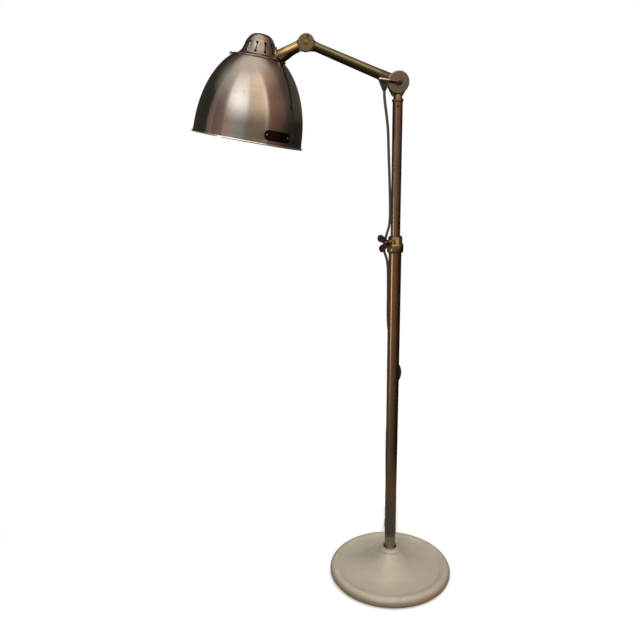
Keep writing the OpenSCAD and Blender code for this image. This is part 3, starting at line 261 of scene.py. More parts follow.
flangeCorners = [Vector(corner) for corner in frame["nodes"]["flange_screws"].bound_box]
flangeCentre = sum(flangeCorners, Vector()) / 8
metalLooks = {
    "bronze": {"bright": (0.31, 0.22, 0.16), "dull": (0.23, 0.165, 0.12), "stain": (0.06, 0.04, 0.03),
               "rough": (0.14, 0.22), "cloudScale": 6.0, "spots": 0.3, "mirroredRough": 0.6},
    "old_brass": {"bright": (0.24, 0.19, 0.1), "dull": (0.15, 0.115, 0.06), "stain": (0.05, 0.035, 0.02),
                  "rough": (0.24, 0.4), "cloudScale": 24.0, "spots": 0.6},
    "brownTube": {"bright": (0.33, 0.21, 0.115), "dull": (0.25, 0.16, 0.09), "stain": (0.07, 0.045, 0.03),
                  "rough": (0.09, 0.15), "cloudScale": 6.0, "spots": 0.3, "mirroredRough": 0.6,
                  # near the floor the tube is painted greyer: painted reflection
                  "zones": [{"centre": (0, 0, 0), "radius": 0.13, "soft": 0.12,
                             "colour": (0.24, 0.2, 0.165)}]},
    "armOlive": {"bright": (0.22, 0.2, 0.12), "dull": (0.15, 0.13, 0.08), "stain": (0.05, 0.035, 0.02),
                 "rough": (0.06, 0.12), "cloudScale": 12.0, "spots": 0.3,
                 "under": {"facing": (0.25, -0.25), "share": 0.7, "colour": (0.07, 0.05, 0.032)}},
    "elbowBronze": {"bright": (0.15, 0.125, 0.085), "dull": (0.09, 0.07, 0.05), "stain": (0.06, 0.045, 0.03),
                    "rough": (0.26, 0.38), "cloudScale": 34.0, "spots": 0.5,
                    "zones": [{"centre": tuple(elbowPin), "radius": 0.0232, "colour": (0.34, 0.29, 0.235)},
                              {"centre": tuple(elbowPin), "radius": 0.0205, "soft": 0.0012,
                               "colour": (0.265, 0.22, 0.18)}]},
    "neckBronze": {"bright": (0.14, 0.09, 0.06), "dull": (0.08, 0.05, 0.035), "stain": (0.04, 0.025, 0.02),
                   "rough": (0.26, 0.4), "cloudScale": 40.0, "spots": 0.5,
                   "zones": [{"centre": (0, 0, 1.1055), "radius": 0.013, "colour": (0.29, 0.205, 0.1)}]},
    "headBrass": {"bright": (0.5, 0.34, 0.15), "dull": (0.26, 0.165, 0.075), "stain": (0.08, 0.05, 0.025),
                  "rough": (0.12, 0.24), "cloudScale": 34.0, "spots": 0.6,
                  "under": {"facing": (0.0, -0.45), "share": 0.85, "colour": (0.06, 0.036, 0.02)},
                  "zones": [{"centre": tuple(headPin), "radius": 0.0175, "colour": (0.38, 0.3, 0.175)},
                            # the neck round the flange is painted darker: painted shade
                            {"centre": tuple(flangeCentre), "radius": 0.011, "soft": 0.006,
                             "colour": (0.15, 0.095, 0.055)}],
                  "slit": {"frame": Matrix.Translation(headPin) @ Matrix.Rotation(math.radians(18), 4, "Y"),
                           "half": 0.0009, "front": -0.0078, "bottom": 0.0046, "edge": 0.0001,
                           "colour": (0.012, 0.009, 0.006)}},
    "leverCopper": {"bright": (0.66, 0.45, 0.35), "dull": (0.45, 0.28, 0.2), "stain": (0.06, 0.035, 0.025),
                    "rough": (0.12, 0.2), "cloudScale": 26.0, "spots": 0.4,
                    "under": {"facing": (0.3, -0.2), "share": 0.8, "colour": (0.1, 0.055, 0.035)},
                    # the lever round its hub is painted nearly black: painted shade
                    "zones": [{"centre": (0, -0.0147, 1.1325), "radius": 0.016, "soft": 0.007,
                               "colour": (0.038, 0.03, 0.027)}]},
    "collarBrass": {"bright": (0.34, 0.25, 0.115), "dull": (0.17, 0.125, 0.06), "stain": (0.05, 0.035, 0.02),
                    "rough": (0.18, 0.32), "cloudScale": 30.0, "spots": 0.6},
    "paleBrass": {"bright": (0.5, 0.4, 0.24), "dull": (0.33, 0.25, 0.14), "stain": (0.1, 0.07, 0.04),
                  "rough": (0.24, 0.36), "cloudScale": 34.0, "spots": 0.5},
    "copper": {"bright": (0.34, 0.2, 0.14), "dull": (0.2, 0.11, 0.08), "stain": (0.06, 0.035, 0.025),
               "rough": (0.22, 0.38), "cloudScale": 26.0, "spots": 0.5},
    "darkCopper": {"bright": (0.13, 0.08, 0.065), "dull": (0.07, 0.042, 0.035), "stain": (0.04, 0.025, 0.02),
                   "rough": (0.12, 0.22), "cloudScale": 60.0, "spots": 0.5, "coat": 0.5, "coatRough": 0.1},
    "golden_brass": {"bright": (0.44, 0.29, 0.13), "dull": (0.27, 0.17, 0.075), "stain": (0.08, 0.05, 0.025),
                     "rough": (0.22, 0.38), "cloudScale": 28.0, "spots": 0.6},
    "steel": {"bright": (0.5, 0.48, 0.45), "dull": (0.3, 0.28, 0.25), "stain": (0.12, 0.08, 0.05),
              "rough": (0.28, 0.45), "cloudScale": 40.0, "spots": 0.5},
    "sootySteel": {"bright": (0.1, 0.095, 0.088), "dull": (0.055, 0.05, 0.045), "stain": (0.03, 0.025, 0.02),
                   "rough": (0.4, 0.55), "cloudScale": 60.0, "spots": 0.5},
    "aluminium": {"bright": (0.72, 0.72, 0.71), "dull": (0.6, 0.6, 0.58), "stain": (0.3, 0.3, 0.3),
                  "rough": (0.25, 0.35), "cloudScale": 40.0, "spots": 0.2},
}
plainLooks = {
    "fibre": {"colour": (0.2, 0.1, 0.05), "second": (0.13, 0.06, 0.03), "rough": 0.7, "bump": 0.00003},
    "porcelain": {"colour": (0.8, 0.78, 0.72), "second": (0.74, 0.71, 0.64), "rough": 0.16, "bump": 0.00003},
    "black_plastic": {"colour": (0.018, 0.016, 0.014), "second": (0.03, 0.026, 0.022), "rough": 0.34,
                      "bump": 0.00003},
    "glass": {"colour": (0.92, 0.92, 0.9), "second": (0.9, 0.9, 0.88), "rough": 0.35, "bump": 0.00001,
              "more": {"Transmission Weight": 0.55, "IOR": 1.45}},
}
materials = {name: metalMaterial(name, look) for name, look in metalLooks.items()}
materials.update({name: plainMaterial(name, look) for name, look in plainLooks.items()})

enamelLook = {
    "paint": (0.335, 0.295, 0.232), "clouded": (0.29, 0.26, 0.208), "rough": (0.36, 0.46),
    "coat": 0.55, "coatRough": 0.12, "peel": 0.25, "waves": 2.2, "bump": 0.00015,
    "grime": {"share": 0.35, "colour": (0.27, 0.24, 0.18)},
    "dirtAndShade": {"share": 0.55, "colour": (0.1, 0.08, 0.055), "rough": 0.4, "bossRadius": (0.0172, 0.0152),
             "skirtHeight": (0.007, 0.0)},
    "wall": {"share": 0.85, "colour": (0.2, 0.148, 0.1), "radius": (0.131, 0.147), "height": (0.0255, 0.014)},
    "chips": {"colour": (0.62, 0.6, 0.55), "radius": (0.128, 0.135), "height": (0.01, 0.02), "depth": 1.5},
}


# stoving enamel on the base: soft clouds, orange peel, handling grime, painted shade low on the base and chips on
# the rim
def enamelMaterial(look):
    material, tree, shader = startMaterial("enamel")
    position = objectPosition(tree)
    split = splitVector(tree, position)
    radius = vectorMath(tree, "LENGTH", outFromAxis(tree, split))
    clouds = remap(tree, noiseNode(tree, position, 11.0, 5.0, 0.55), 0.35, 0.68)
    paint = mixColour(tree, clouds, look["paint"], look["clouded"])
    handled = remap(tree, noiseNode(tree, position, 38.0, 6.0, 0.65), 0.45, 0.75)
    grime = mathNode(tree, "MULTIPLY", handled, look["grime"]["share"])
    paint = mixColour(tree, grime, paint, look["grime"]["colour"])
    # darker where the boss meets the pole and at the foot of the skirt: dirt and painted shade
    boss = remap(tree, radius, *look["dirtAndShade"]["bossRadius"])
    low = remap(tree, split[2], *look["dirtAndShade"]["skirtHeight"])
    dirtAndShade = mathNode(tree, "MULTIPLY", mathNode(tree, "MAXIMUM", boss, low), look["dirtAndShade"]["share"])
    paint = mixColour(tree, dirtAndShade, paint, look["dirtAndShade"]["colour"])
    # the outer wall is painted darker and browner low down: painted shade
    wall = mathNode(tree, "MULTIPLY", remap(tree, radius, *look["wall"]["radius"]),
                    remap(tree, split[2], *look["wall"]["height"]))
    wallShade = mathNode(tree, "MULTIPLY", wall, look["wall"]["share"])
    paint = mixColour(tree, wallShade, paint, look["wall"]["colour"])
    # chips only near the crest of the rim
    crest = mathNode(tree, "MULTIPLY", remap(tree, radius, *look["chips"]["radius"]),
                     remap(tree, split[2], *look["chips"]["height"]))
    flakes = remap(tree, noiseNode(tree, position, 95.0, 2.0, 0.5), 0.69, 0.71)
    chips = mathNode(tree, "MULTIPLY", crest, flakes)
    tree.links.new(mixColour(tree, chips, paint, look["chips"]["colour"]), shader.inputs["Base Color"])
    rough = remap(tree, clouds, 0.0, 1.0, *look["rough"])
    tree.links.new(mathNode(tree, "ADD", rough, mathNode(tree, "MULTIPLY", dirtAndShade, look["dirtAndShade"]["rough"])),
                   shader.inputs["Roughness"])
    shader.inputs["Coat Weight"].default_value = look["coat"]
    shader.inputs["Coat Roughness"].default_value = look["coatRough"]
    peel = noiseNode(tree, position, 420.0, 2.0, 0.5)
    waves = noiseNode(tree, position, 26.0, 2.0, 0.5)
    height = mathNode(tree, "ADD", mathNode(tree, "MULTIPLY", peel, look["peel"]),
                      mathNode(tree, "MULTIPLY", waves, look["waves"]))
    height = mathNode(tree, "SUBTRACT", height, mathNode(tree, "MULTIPLY", chips, look["chips"]["depth"]))
    bumpInto(tree, shader, height, look["bump"])
    return material


# what the shade and its cap share
spunFinish = {"spotScale": 90.0, "insideRough": 0.18, "ringRough": 0.08, "scratchRough": 0.08}


# spun and plated metal of the shade and its cap: rings round the axis, duller inside and in the slots, where the
# cap is also painted dark: painted shade
def shadeMaterial(name, look):
    material, tree, shader = startMaterial(name)
    position = objectPosition(tree, shadeFrame)
    masks = groupNode(tree, patinaTree, {
        "Vector": position, "Cloud Scale": look["cloudScale"],
        "Spot Scale": spunFinish["spotScale"], "Spot Amount": look["spots"]})
    rings = groupNode(tree, spunTree, {"Vector": position, "Scale": look["ringScale"]})
    split = splitVector(tree, position)
    outward = vectorMath(tree, "NORMALIZE", outFromAxis(tree, split))
    turned = addNode(tree, "ShaderNodeVectorRotate", settings={"rotation_type": "Y_AXIS"}, inputs={
        "Vector": addNode(tree, "ShaderNodeTexCoord").outputs["Normal"], "Angle": -shadeTilt}).outputs[0]
    facing = vectorMath(tree, "DOT_PRODUCT", turned, outward)
    inside = remap(tree, facing, 0.05, -0.05)
    # the cut walls of the slots face round the axis
    aside = vectorMath(tree, "CROSS_PRODUCT", outward, (0, 0, 1))
    slotWall = mathNode(tree, "ABSOLUTE", vectorMath(tree, "DOT_PRODUCT", turned, aside))
    inside = mathNode(tree, "MAXIMUM", inside, remap(tree, slotWall, 0.3, 0.5))
    colour = mixColour(tree, masks["Cloud"], look["bright"], look["dull"])
    colour = mixColour(tree, remap(tree, rings["Broad"], 0.35, 0.7, 0.0, 0.35), colour, look["ring"])
    colour = mixColour(tree, masks["Spots"], colour, look["stain"])
    colour = mixColour(tree, mathNode(tree, "MULTIPLY", inside, look["inside"]), colour, look["insideColour"])
    if "bead" in look:
        # the rolled rim is painted bright: painted highlight
        bead = remap(tree, split[2], *look["bead"]["height"])
        beadHighlight = mathNode(tree, "MULTIPLY", bead, look["bead"]["share"])
        colour = mixColour(tree, beadHighlight, colour, look["bead"]["colour"])
    tree.links.new(colour, shader.inputs["Base Color"])
    shader.inputs["Metallic"].default_value = 1.0
    rough = remap(tree, masks["Cloud"], 0.0, 1.0, *look["rough"])
    for mask, amount in ((inside, "insideRough"), (rings["Rings"], "ringRough"),
                         (masks["Scratches"], "scratchRough")):
        rough = mathNode(tree, "ADD", rough, mathNode(tree, "MULTIPLY", mask, spunFinish[amount]))
    tree.links.new(rough, shader.inputs["Roughness"])
    height = mathNode(tree, "ADD", rings["Rings"], mathNode(tree, "MULTIPLY", masks["Cloud"], 2.0))
    bump = bumpInto(tree, shader, height, look["bump"])
    if "curve" in look:
        tree.links.new(curveNormal(tree, look["curve"], split[2], outward, facing), bump.inputs["Normal"])
    return material


# the wall's own curve gives its normal, so that reflections run over it without steps
def curveNormal(tree, curve, height, outward, facing):
    share = mathNode(tree, "POWER", mathNode(tree, "DIVIDE", height, curve["closing"]), curve["power"])
    remaining = mathNode(tree, "MAXIMUM", mathNode(tree, "SUBTRACT", 1.0, share), 0.01)
    slope = mathNode(tree, "DIVIDE", mathNode(tree, "MULTIPLY", share, curve["radius"] * curve["power"] / 2),
                     mathNode(tree, "MULTIPLY", mathNode(tree, "MAXIMUM", height, 0.001),
                              mathNode(tree, "SQRT", remaining)))
    rising = addNode(tree, "ShaderNodeCombineXYZ", inputs={2: slope}).outputs[0]
    leaning = vectorMath(tree, "ADD", outward, rising)
    signed = addNode(tree, "ShaderNodeVectorMath", settings={"operation": "SCALE"}, inputs={
        0: leaning, "Scale": mathNode(tree, "SIGN", facing)}).outputs[0]
    upright = addNode(tree, "ShaderNodeVectorRotate", settings={"rotation_type": "Y_AXIS"}, inputs={
        "Vector": signed, "Angle": shadeTilt}).outputs[0]
    seen = addNode(tree, "ShaderNodeVectorTransform", inputs={0: upright}, settings={
        "vector_type": "NORMAL", "convert_from": "OBJECT", "convert_to": "WORLD"}).outputs[0]
    # only on the plain wall: not on the bead, nor where the cap's ring sits, nor on a cut edge
    onWall = mathNode(tree, "MULTIPLY", remap(tree, height, *curve["from"]),
                      remap(tree, height, *curve["to"]))
    onWall = mathNode(tree, "MULTIPLY", onWall, remap(tree, mathNode(tree, "ABSOLUTE", facing), 0.3, 0.4))
    blended = addNode(tree, "ShaderNodeMix", settings={"data_type": "VECTOR"}, inputs={
        0: onWall, 4: addNode(tree, "ShaderNodeNewGeometry").outputs["Normal"], 5: seen}).outputs[1]
    return vectorMath(tree, "NORMALIZE", blended)


materials["enamel"] = enamelMaterial(enamelLook)
materials["nickel"] = shadeMaterial("nickel", {
    "bright": (0.42, 0.385, 0.35), "dull": (0.35, 0.315, 0.28), "ring": (0.33, 0.285, 0.25),
    "stain": (0.14, 0.1, 0.07), "inside": 0.8, "insideColour": (0.5, 0.47, 0.43), "cloudScale": 7.0,
    "spots": 0.2, "rough": (0.07, 0.12), "bump": 0.000002, "ringScale": 900.0,
    "bead": {"colour": (0.9, 0.86, 0.79), "height": (0.0035, 0.0028), "share": 0.8},
    "curve": {**shadeCurve, "from": (0.014, 0.018), "to": (0.1462, 0.1455)}})
# the cap's near black insideColour, on its inside and its slot walls, is painted shade
materials["capCopper"] = shadeMaterial("capCopper", {
    "bright": (0.47, 0.425, 0.375), "dull": (0.28, 0.228, 0.198), "ring": (0.22, 0.16, 0.135),
    "stain": (0.1, 0.06, 0.05), "inside": 0.9, "insideColour": (0.07, 0.05, 0.04), "cloudScale": 14.0,
    "spots": 0.35, "rough": (0.11, 0.18), "bump": 0.000004, "ringScale": 600.0})
print("metals, enamel and plastics made")

braidLook = {"strandsRound": 12.0, "strandsAlong": 9.0, "rough": 0.78, "bump": 0.00022,
             "valley": (0.026, 0.024, 0.015), "crest": (0.095, 0.088, 0.058), "worn": (0.09, 0.08, 0.055),
             "fuzz": (0.05, 0.045, 0.03), "sheen": 0.25, "sheenRough": 0.5}


# braided textile sleeve over the lead, from the tube's own UV
def braidMaterial(look):
    material, tree, shader = startMaterial("braid")
    split = splitVector(tree, addNode(tree, "ShaderNodeUVMap", settings={"uv_map": "UVMap"}).outputs[0])
    around = mathNode(tree, "MULTIPLY", split[0], look["strandsRound"])
    along = mathNode(tree, "MULTIPLY", split[1], look["strandsAlong"])
    turns = [mathNode(tree, way, around, along) for way in ("ADD", "SUBTRACT")]
    strands = [mathNode(tree, "SINE", mathNode(tree, "MULTIPLY", turn, 2 * math.pi)) for turn in turns]
    weave = mathNode(tree, "MAXIMUM", *strands)
    position = objectPosition(tree)
    fuzz = noiseNode(tree, position, 700.0, 4.0, 0.7)
    wear = remap(tree, noiseNode(tree, position, 22.0, 3.0), 0.4, 0.7)
    # the weave's valleys are painted darker than its crests: painted shade
    base = mixColour(tree, remap(tree, weave, -0.4, 1.0), look["valley"], look["crest"])
    base = mixColour(tree, mathNode(tree, "MULTIPLY", wear, 0.4), base, look["worn"])
    tree.links.new(mixColour(tree, mathNode(tree, "MULTIPLY", fuzz, 0.35), base, look["fuzz"]),
                   shader.inputs["Base Color"])
    shader.inputs["Roughness"].default_value = look["rough"]
    shader.inputs["Sheen Weight"].default_value = look["sheen"]
    shader.inputs["Sheen Roughness"].default_value = look["sheenRough"]
    bumpInto(tree, shader, mathNode(tree, "ADD", weave, mathNode(tree, "MULTIPLY", fuzz, 0.6)), look["bump"])
    return material


materials["cord"] = braidMaterial(braidLook)

# pieces whose finish differs from the rest of their slot
nodeLooks = {
    "shade": "nickel", "vent_cap": "capCopper", "cap_ring": "bronze", "head_neck": "headBrass",
    "flange_screws": "paleBrass", "holder_strap": "sootySteel", "arm_tube": "armOlive",
    "arm_head_knuckle": "armOlive", "arm_elbow_knuckle": "elbowBronze", "elbow_lever": "leverCopper",
    "elbow_bolt": "darkCopper", "neck_casting": "neckBronze", "neck_grub_screw": "old_brass",
    "clamp_collar": "collarBrass", "wing_screw": "darkCopper", "lower_tube": "brownTube",
}
for part in frame["record"]["subparts"]:
    node = frame["nodes"][part["node"]]
    node.data.materials.clear()
    node.data.materials.append(materials[nodeLooks.get(part["node"], part["material_slot"])])

# edges of the machined and cast pieces are slightly broken
edgeWidths = {
    "clamp_collar": 0.0004, "neck_casting": 0.0006, "arm_elbow_knuckle": 0.0006,
    "arm_head_knuckle": 0.0005, "head_neck": 0.0004, "wing_screw": 0.0003, "elbow_bolt": 0.0003,
    "neck_nut": 0.0003, "base_locknut": 0.0004, "switch_base": 0.0012, "switch_cover": 0.0012,
    "switch_rocker": 0.0005, "hank_tie": 0.0002, "holder_strap": 0.0002, "cap_ring": 0.0002,
}
for nodeName, width in edgeWidths.items():
    node = frame["nodes"][nodeName]
    weld = node.modifiers.new("weld", "WELD")
    weld.merge_threshold = 0.00001
    bevel = node.modifiers.new("edges", "BEVEL")
    bevel.width = width
    bevel.segments = 2
    bevel.limit_method = "ANGLE"
    bevel.angle_limit = math.radians(40)
    bevel.use_clamp_overlap = True
print("CAD nodes dressed")


# a smooth curve through the points, with the same formula as the part's source
def smoothRoute(points, steps):
    points = [Vector(p) for p in points]
    out = []
    for i in range(len(points) - 1):
        a, b, c, d = points[max(i - 1, 0)], points[i], points[i + 1], points[min(i + 2, len(points) - 1)]
        for k in range(steps):
            t = k / steps
            bend = (2 * a - 5 * b + 4 * c - d) + t * (3 * b - a - 3 * c + d)
            out.append(b + t / 2 * ((c - a) + t * bend))
    return out + [points[-1]]


def routeLength(points):
    return sum((b - a).length for a, b in zip(points, points[1:]))


# makes a built shape a piece of the scene
def pieceFrom(builder, name):
    mesh = bpy.data.meshes.new(name)
    builder.to_mesh(mesh)
    builder.free()
    return linked(bpy.data.objects.new(name, mesh))


def linked(item):
    scene.collection.objects.link(item)
    return item


# a round tube along the points, closed at both ends, UV: turns round it and diameters along it
def tubeMesh(name, points, radius, sides, startWay, endWay):
    builder = bmesh.new()
    uvLayer = builder.loops.layers.uv.new("UVMap")
    reference = Vector(startWay).cross(Vector((1, 0, 0.2))).normalized()
    turns = [2 * math.pi * k / sides for k in range(sides)]
    loops, distances, travelled = [], [], 0.0
    for i, point in enumerate(points):
        if i == 0:
            way = Vector(startWay).normalized()
        elif i == len(points) - 1:
            way = Vector(endWay).normalized()
        else:
            way = (points[i + 1] - points[i - 1]).normalized()
        reference = (reference - way * reference.dot(way)).normalized()
        other = way.cross(reference)
        if i:
            travelled += (point - points[i - 1]).length
        distances.append(travelled / (2 * radius))
        spokes = [math.cos(turn) * reference + math.sin(turn) * other for turn in turns]
        loops.append([builder.verts.new(point + radius * spoke) for spoke in spokes])
    for i in range(len(loops) - 1):
        for k in range(sides):
            j = (k + 1) % sides
            face = builder.faces.new((loops[i][k], loops[i][j], loops[i + 1][j], loops[i + 1][k]))
            face.smooth = True
            corners = [(k, i), (k + 1, i), (k + 1, i + 1), (k, i + 1)]
            for loop, (around, ring) in zip(face.loops, corners):
                loop[uvLayer].uv = (around / sides, distances[ring])
    builder.faces.new(list(reversed(loops[0])))
    builder.faces.new(loops[-1])
    bmesh.ops.recalc_face_normals(builder, faces=builder.faces)
    return pieceFrom(builder, name)


def metres(points):
    return [Vector(p) / 1000 for p in points]


cordRadius = 0.00275
# the spare cord lies in a flat figure behind the base, narrow where the tie holds it; millimetres
hankLook = {"run": 104, "fold": 13.4, "waist": 5, "loops": 4, "rise": 6, "lowest": 3.75, "ends": 8}
hankAt = Vector((0.0375, 0.24, 0))
hankTurn = Matrix.Rotation(math.radians(-9), 4, "Z")
hankWay = hankTurn @ Vector((0, 1, 0))


# one pass of the hank is eight steps up it; a fold at its end is a half circle in six
def hankRoute(run, fold, waist, loops, rise, lowest, ends):
    def width(y):
        return fold - (fold - waist) * math.cos(math.pi * y / run) ** 2

    def ease(t):
        return t * t * (3 - 2 * t)

    def folded(side, level):
        return [(side * fold * math.cos(math.radians(30 * i)),
                 side * (run / 2 + fold * math.sin(math.radians(30 * i))), level) for i in range(1, 6)]
    out = [(fold, -run / 2 - ends, lowest)]
    for k in range(loops + 1):
        level = lowest + rise * k
        out += [(width((i / 8 - 0.5) * run), (i / 8 - 0.5) * run, level) for i in range(9)]
        if k == loops:
            break
        out += folded(1, level)
        out += [(-width((0.5 - i / 8) * run), (0.5 - i / 8) * run, level + rise * ease(i / 8))
                for i in range(9)]
        out += folded(-1, level + rise)
    out.append((fold, run / 2 + ends, lowest + rise * loops))
    return [hankAt + hankTurn @ p for p in metres(out)]


hankPoints = hankRoute(**hankLook)
down = (0, 0, -1)
elbowEnd = (0.1, 0.2, -1)
cords = [
    {"name": "cordElbow", "node": "cord_elbow", "start": down, "end": elbowEnd, "lay": "hanging",
     "route": [(-26.5, 0, 1119.3), (-26, 0.5, 1109), (-24.3, 2.5, 1096), (-22, 5, 1083), (-19.8, 7.5, 1070)],
     "blend": ("arm", "pole")},
    {"name": "cordSwivel", "node": "cord_swivel", "start": elbowEnd, "end": down, "lay": "hanging",
     "route": [(-19.8, 7.5, 1070), (-16.4, 12.4, 1046), (-14.3, 15.1, 1009), (-12.2, 16.9, 971),
               (-10.3, 18, 932), (-9, 18.7, 900), (-9, 18.7, 875)],
     "blend": ("pole", "guide")},
    {"name": "cordUpper", "node": "cord_upper", "start": down, "end": down, "lay": "hanging",
     "route": [(-9, 18.7, 875), (-11, 18, 858), (-16.2, 17.5, 840), (-20.8, 16.5, 822), (-20.2, 16.5, 806),
               (-15, 17, 790), (-12.2, 17.7, 770), (-11.4, 18, 740), (-11.1, 18, 700), (-10.8, 18.3, 662),
               (-8.5, 19, 633), (-3, 20.6, 607), (3.5, 22.3, 587), (6.1, 22.8, 568)],
     "ride": "guide"},
    {"name": "cordLower", "node": "cord_lower", "start": down, "end": down, "lay": "hanging",
     "route": [(6.1, 22.8, 494), (4.8, 22.5, 477), (0, 21, 455), (-5, 19.5, 432), (-8, 18.6, 402),
               (-9, 18.4, 362), (-9, 18.4, 315), (-8.3, 18.6, 265), (-6, 19.4, 215), (-1.5, 20.7, 165),
               (2.5, 22, 120)],
     "blend": ("guide", "stand")},
    {"name": "cordFloor", "node": "cord_floor", "start": down, "end": hankWay, "lay": "loose",
     "route": [(2.5, 22, 120), (3.5, 24, 100), (4.5, 29.5, 82), (6, 37, 66.5), (8.5, 46.5, 51.5),
               (11.5, 60, 38.5), (15, 77, 30), (18.5, 96, 25.8), (22, 114, 25), (25.5, 130, 28.3),
               (29.5, 145, 27.5), (33.5, 157, 18.5), (37.5, 167, 8.5), (40.2, 173.5, 4.5),
               tuple(1000 * hankPoints[0])],
     "ride": "stand"},
    {"name": "cordTail", "node": "cord_tail", "start": hankWay, "end": (0, 1, 0), "lay": "loose",
     "route": [tuple(1000 * hankPoints[-1]), (60.8, 305.5, 25.5), (59, 316, 17), (57.3, 326, 9),
               (57, 333.5, 7)],
     "ride": "stand", "plug": True},
]
for cord in cords:
    line = smoothRoute(metres(cord["route"]), 6)
    piece = tubeMesh(cord["name"], line, cordRadius, 14, cord["start"], cord["end"])
    piece.data.materials.append(materials["cord"])
    if "ride" in cord:
        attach(piece, cord["ride"])
    else:
        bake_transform(piece)
    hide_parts(cord["node"])

hankLine = smoothRoute(hankPoints, 3)
hankPiece = tubeMesh("cordHank", hankLine, cordRadius, 12, hankWay, hankWay)
hankPiece.data.materials.append(materials["cord"])
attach(hankPiece, "stand")
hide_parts("cord_hank")
print("cords laid, metres in the hank:", round(routeLength(hankLine), 3))


# radius of the shade's wall at the height u over its rim
def shadeRadius(u):
    closed = (u / shadeCurve["closing"]) ** shadeCurve["power"]
    return shadeCurve["radius"] * math.sqrt(max(0.0, 1 - closed))


# a thin sheet with half round ends that follows the shade's wall
def curvedPlate(name, look):
    builder = bmesh.new()
    rows, columns = look["rows"], look["columns"]
    grid = {}
    for side, lift in (("outer", look["lift"] + look["thick"]), ("inner", look["lift"])):
        for j in range(rows + 1):
            v = (j / rows - 0.5) * look["height"]
            past = max(0.0, abs(v) - look["height"] / 2 + look["corner"])
            end = look["width"] / 2 - look["corner"] + math.sqrt(max(0.0, look["corner"] ** 2 - past ** 2))
            radius = shadeRadius(look["u"] + v) + lift
            for i in range(columns + 1):
                w = (2 * i / columns - 1) * end
                angle = math.radians(look["azimuth"]) + w / shadeRadius(look["u"])
                grid[side, j, i] = builder.verts.new(
                    shadeFrame @ Vector((radius * math.cos(angle), radius * math.sin(angle), look["u"] + v)))
    for side in ("outer", "inner"):
        for j in range(rows):
            for i in range(columns):
                builder.faces.new([grid[side, j, i], grid[side, j, i + 1], grid[side, j + 1, i + 1],
                                   grid[side, j + 1, i]])
    edge = [(0, i) for i in range(columns + 1)] + [(j, columns) for j in range(1, rows + 1)]
    edge += [(rows, i) for i in range(columns - 1, -1, -1)] + [(j, 0) for j in range(rows - 1, 0, -1)]
    for here, beside in zip(edge, edge[1:] + edge[:1]):
        builder.faces.new([grid[("outer", *here)], grid[("outer", *beside)],
                           grid[("inner", *beside)], grid[("inner", *here)]])
    bmesh.ops.recalc_face_normals(builder, faces=builder.faces)
    piece = pieceFrom(builder, name)
    piece.data.shade_smooth()
    bevel = piece.modifiers.new("edges", "BEVEL")
    bevel.width = look["edge"]
    bevel.segments = 2
    bevel.limit_method = "ANGLE"
    return piece


# blank name plate without writing, riveted to the shade
plateLook = {
    "azimuth": -56, "u": 0.0185, "width": 0.057, "height": 0.0185, "corner": 0.008, "lift": 0.00005,
    "thick": 0.0007, "edge": 0.0003, "rows": 10, "columns": 28,
    "finish": {"bright": (0.045, 0.024, 0.016), "dull": (0.025, 0.014, 0.01), "stain": (0.015, 0.01, 0.008),
               "rough": (0.34, 0.46), "cloudScale": 60.0, "spots": 0.4, "bump": 0.00004}}
plate = curvedPlate("blankPlate", plateLook)
plate.data.materials.append(metalMaterial("plateBrown", plateLook["finish"]))
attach(plate, "head")

# the rivets' heads are flattened domes, leaning as the wall does
rivetLook = {"aside": 0.0235, "radius": 0.0016, "flatness": 0.55, "sunk": 0.0001, "lean": 88}
plateFace = shadeRadius(plateLook["u"]) + plateLook["lift"] + plateLook["thick"]
for index, side in enumerate((-1, 1)):
    angle = math.radians(plateLook["azimuth"]) + side * rivetLook["aside"] / shadeRadius(plateLook["u"])
    builder = bmesh.new()
    bmesh.ops.create_uvsphere(builder, u_segments=20, v_segments=12, radius=rivetLook["radius"])
    for vert in builder.verts:
        vert.co.z = max(0.0, vert.co.z) * rivetLook["flatness"]
    builder.transform(shadeFrame @ Matrix.Rotation(angle, 4, "Z")
                      @ Matrix.Translation((plateFace - rivetLook["sunk"], 0, plateLook["u"]))
                      @ Matrix.Rotation(math.radians(rivetLook["lean"]), 4, "Y"))
    bmesh.ops.dissolve_degenerate(builder, dist=1e-6, edges=builder.edges)
    rivet = pieceFrom(builder, f"plateRivet{index + 1}")
    rivet.data.shade_smooth()
    rivet.data.materials.append(materials["steel"])
    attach(rivet, "head")
print("plate and rivets added")

# fine ribs round the lamp holder's threaded ring, set out by a small geometry tree
ribLook = {"Count": 40, "Ring Radius": 0.01945, "Rib Radius": 0.00055, "Height": 0.0058}
ribCentre = 0.1356  # over the shade's rim
ribTree = bpy.data.node_groups.new("holderRibs", "GeometryNodeTree")
ribTree.interface.new_socket(name="Geometry", in_out="OUTPUT", socket_type="NodeSocketGeometry")
ribSockets = {}
for socketName, value in ribLook.items():
    kind = "NodeSocketInt" if isinstance(value, int) else "NodeSocketFloat"
    ribSockets[socketName] = ribTree.interface.new_socket(name=socketName, in_out="INPUT", socket_type=kind)
ribIn = ribTree.nodes.new("NodeGroupInput")
ribOut = ribTree.nodes.new("NodeGroupOutput")
ribPlaces = addNode(ribTree, "GeometryNodeMeshCircle", inputs={
    "Vertices": ribIn.outputs["Count"], "Radius": ribIn.outputs["Ring Radius"]})
ribShape = addNode(ribTree, "GeometryNodeMeshCylinder", inputs={
    "Vertices": 10, "Radius": ribIn.outputs["Rib Radius"], "Depth": ribIn.outputs["Height"]})
ribCopies = addNode(ribTree, "GeometryNodeInstanceOnPoints", inputs={
    "Points": ribPlaces.outputs["Mesh"], "Instance": ribShape.outputs["Mesh"]})
ribReal = addNode(ribTree, "GeometryNodeRealizeInstances", inputs={0: ribCopies.outputs[0]})
ribDressed = addNode(ribTree, "GeometryNodeSetMaterial", inputs={
    "Geometry": ribReal.outputs[0], "Material": materials["old_brass"]})
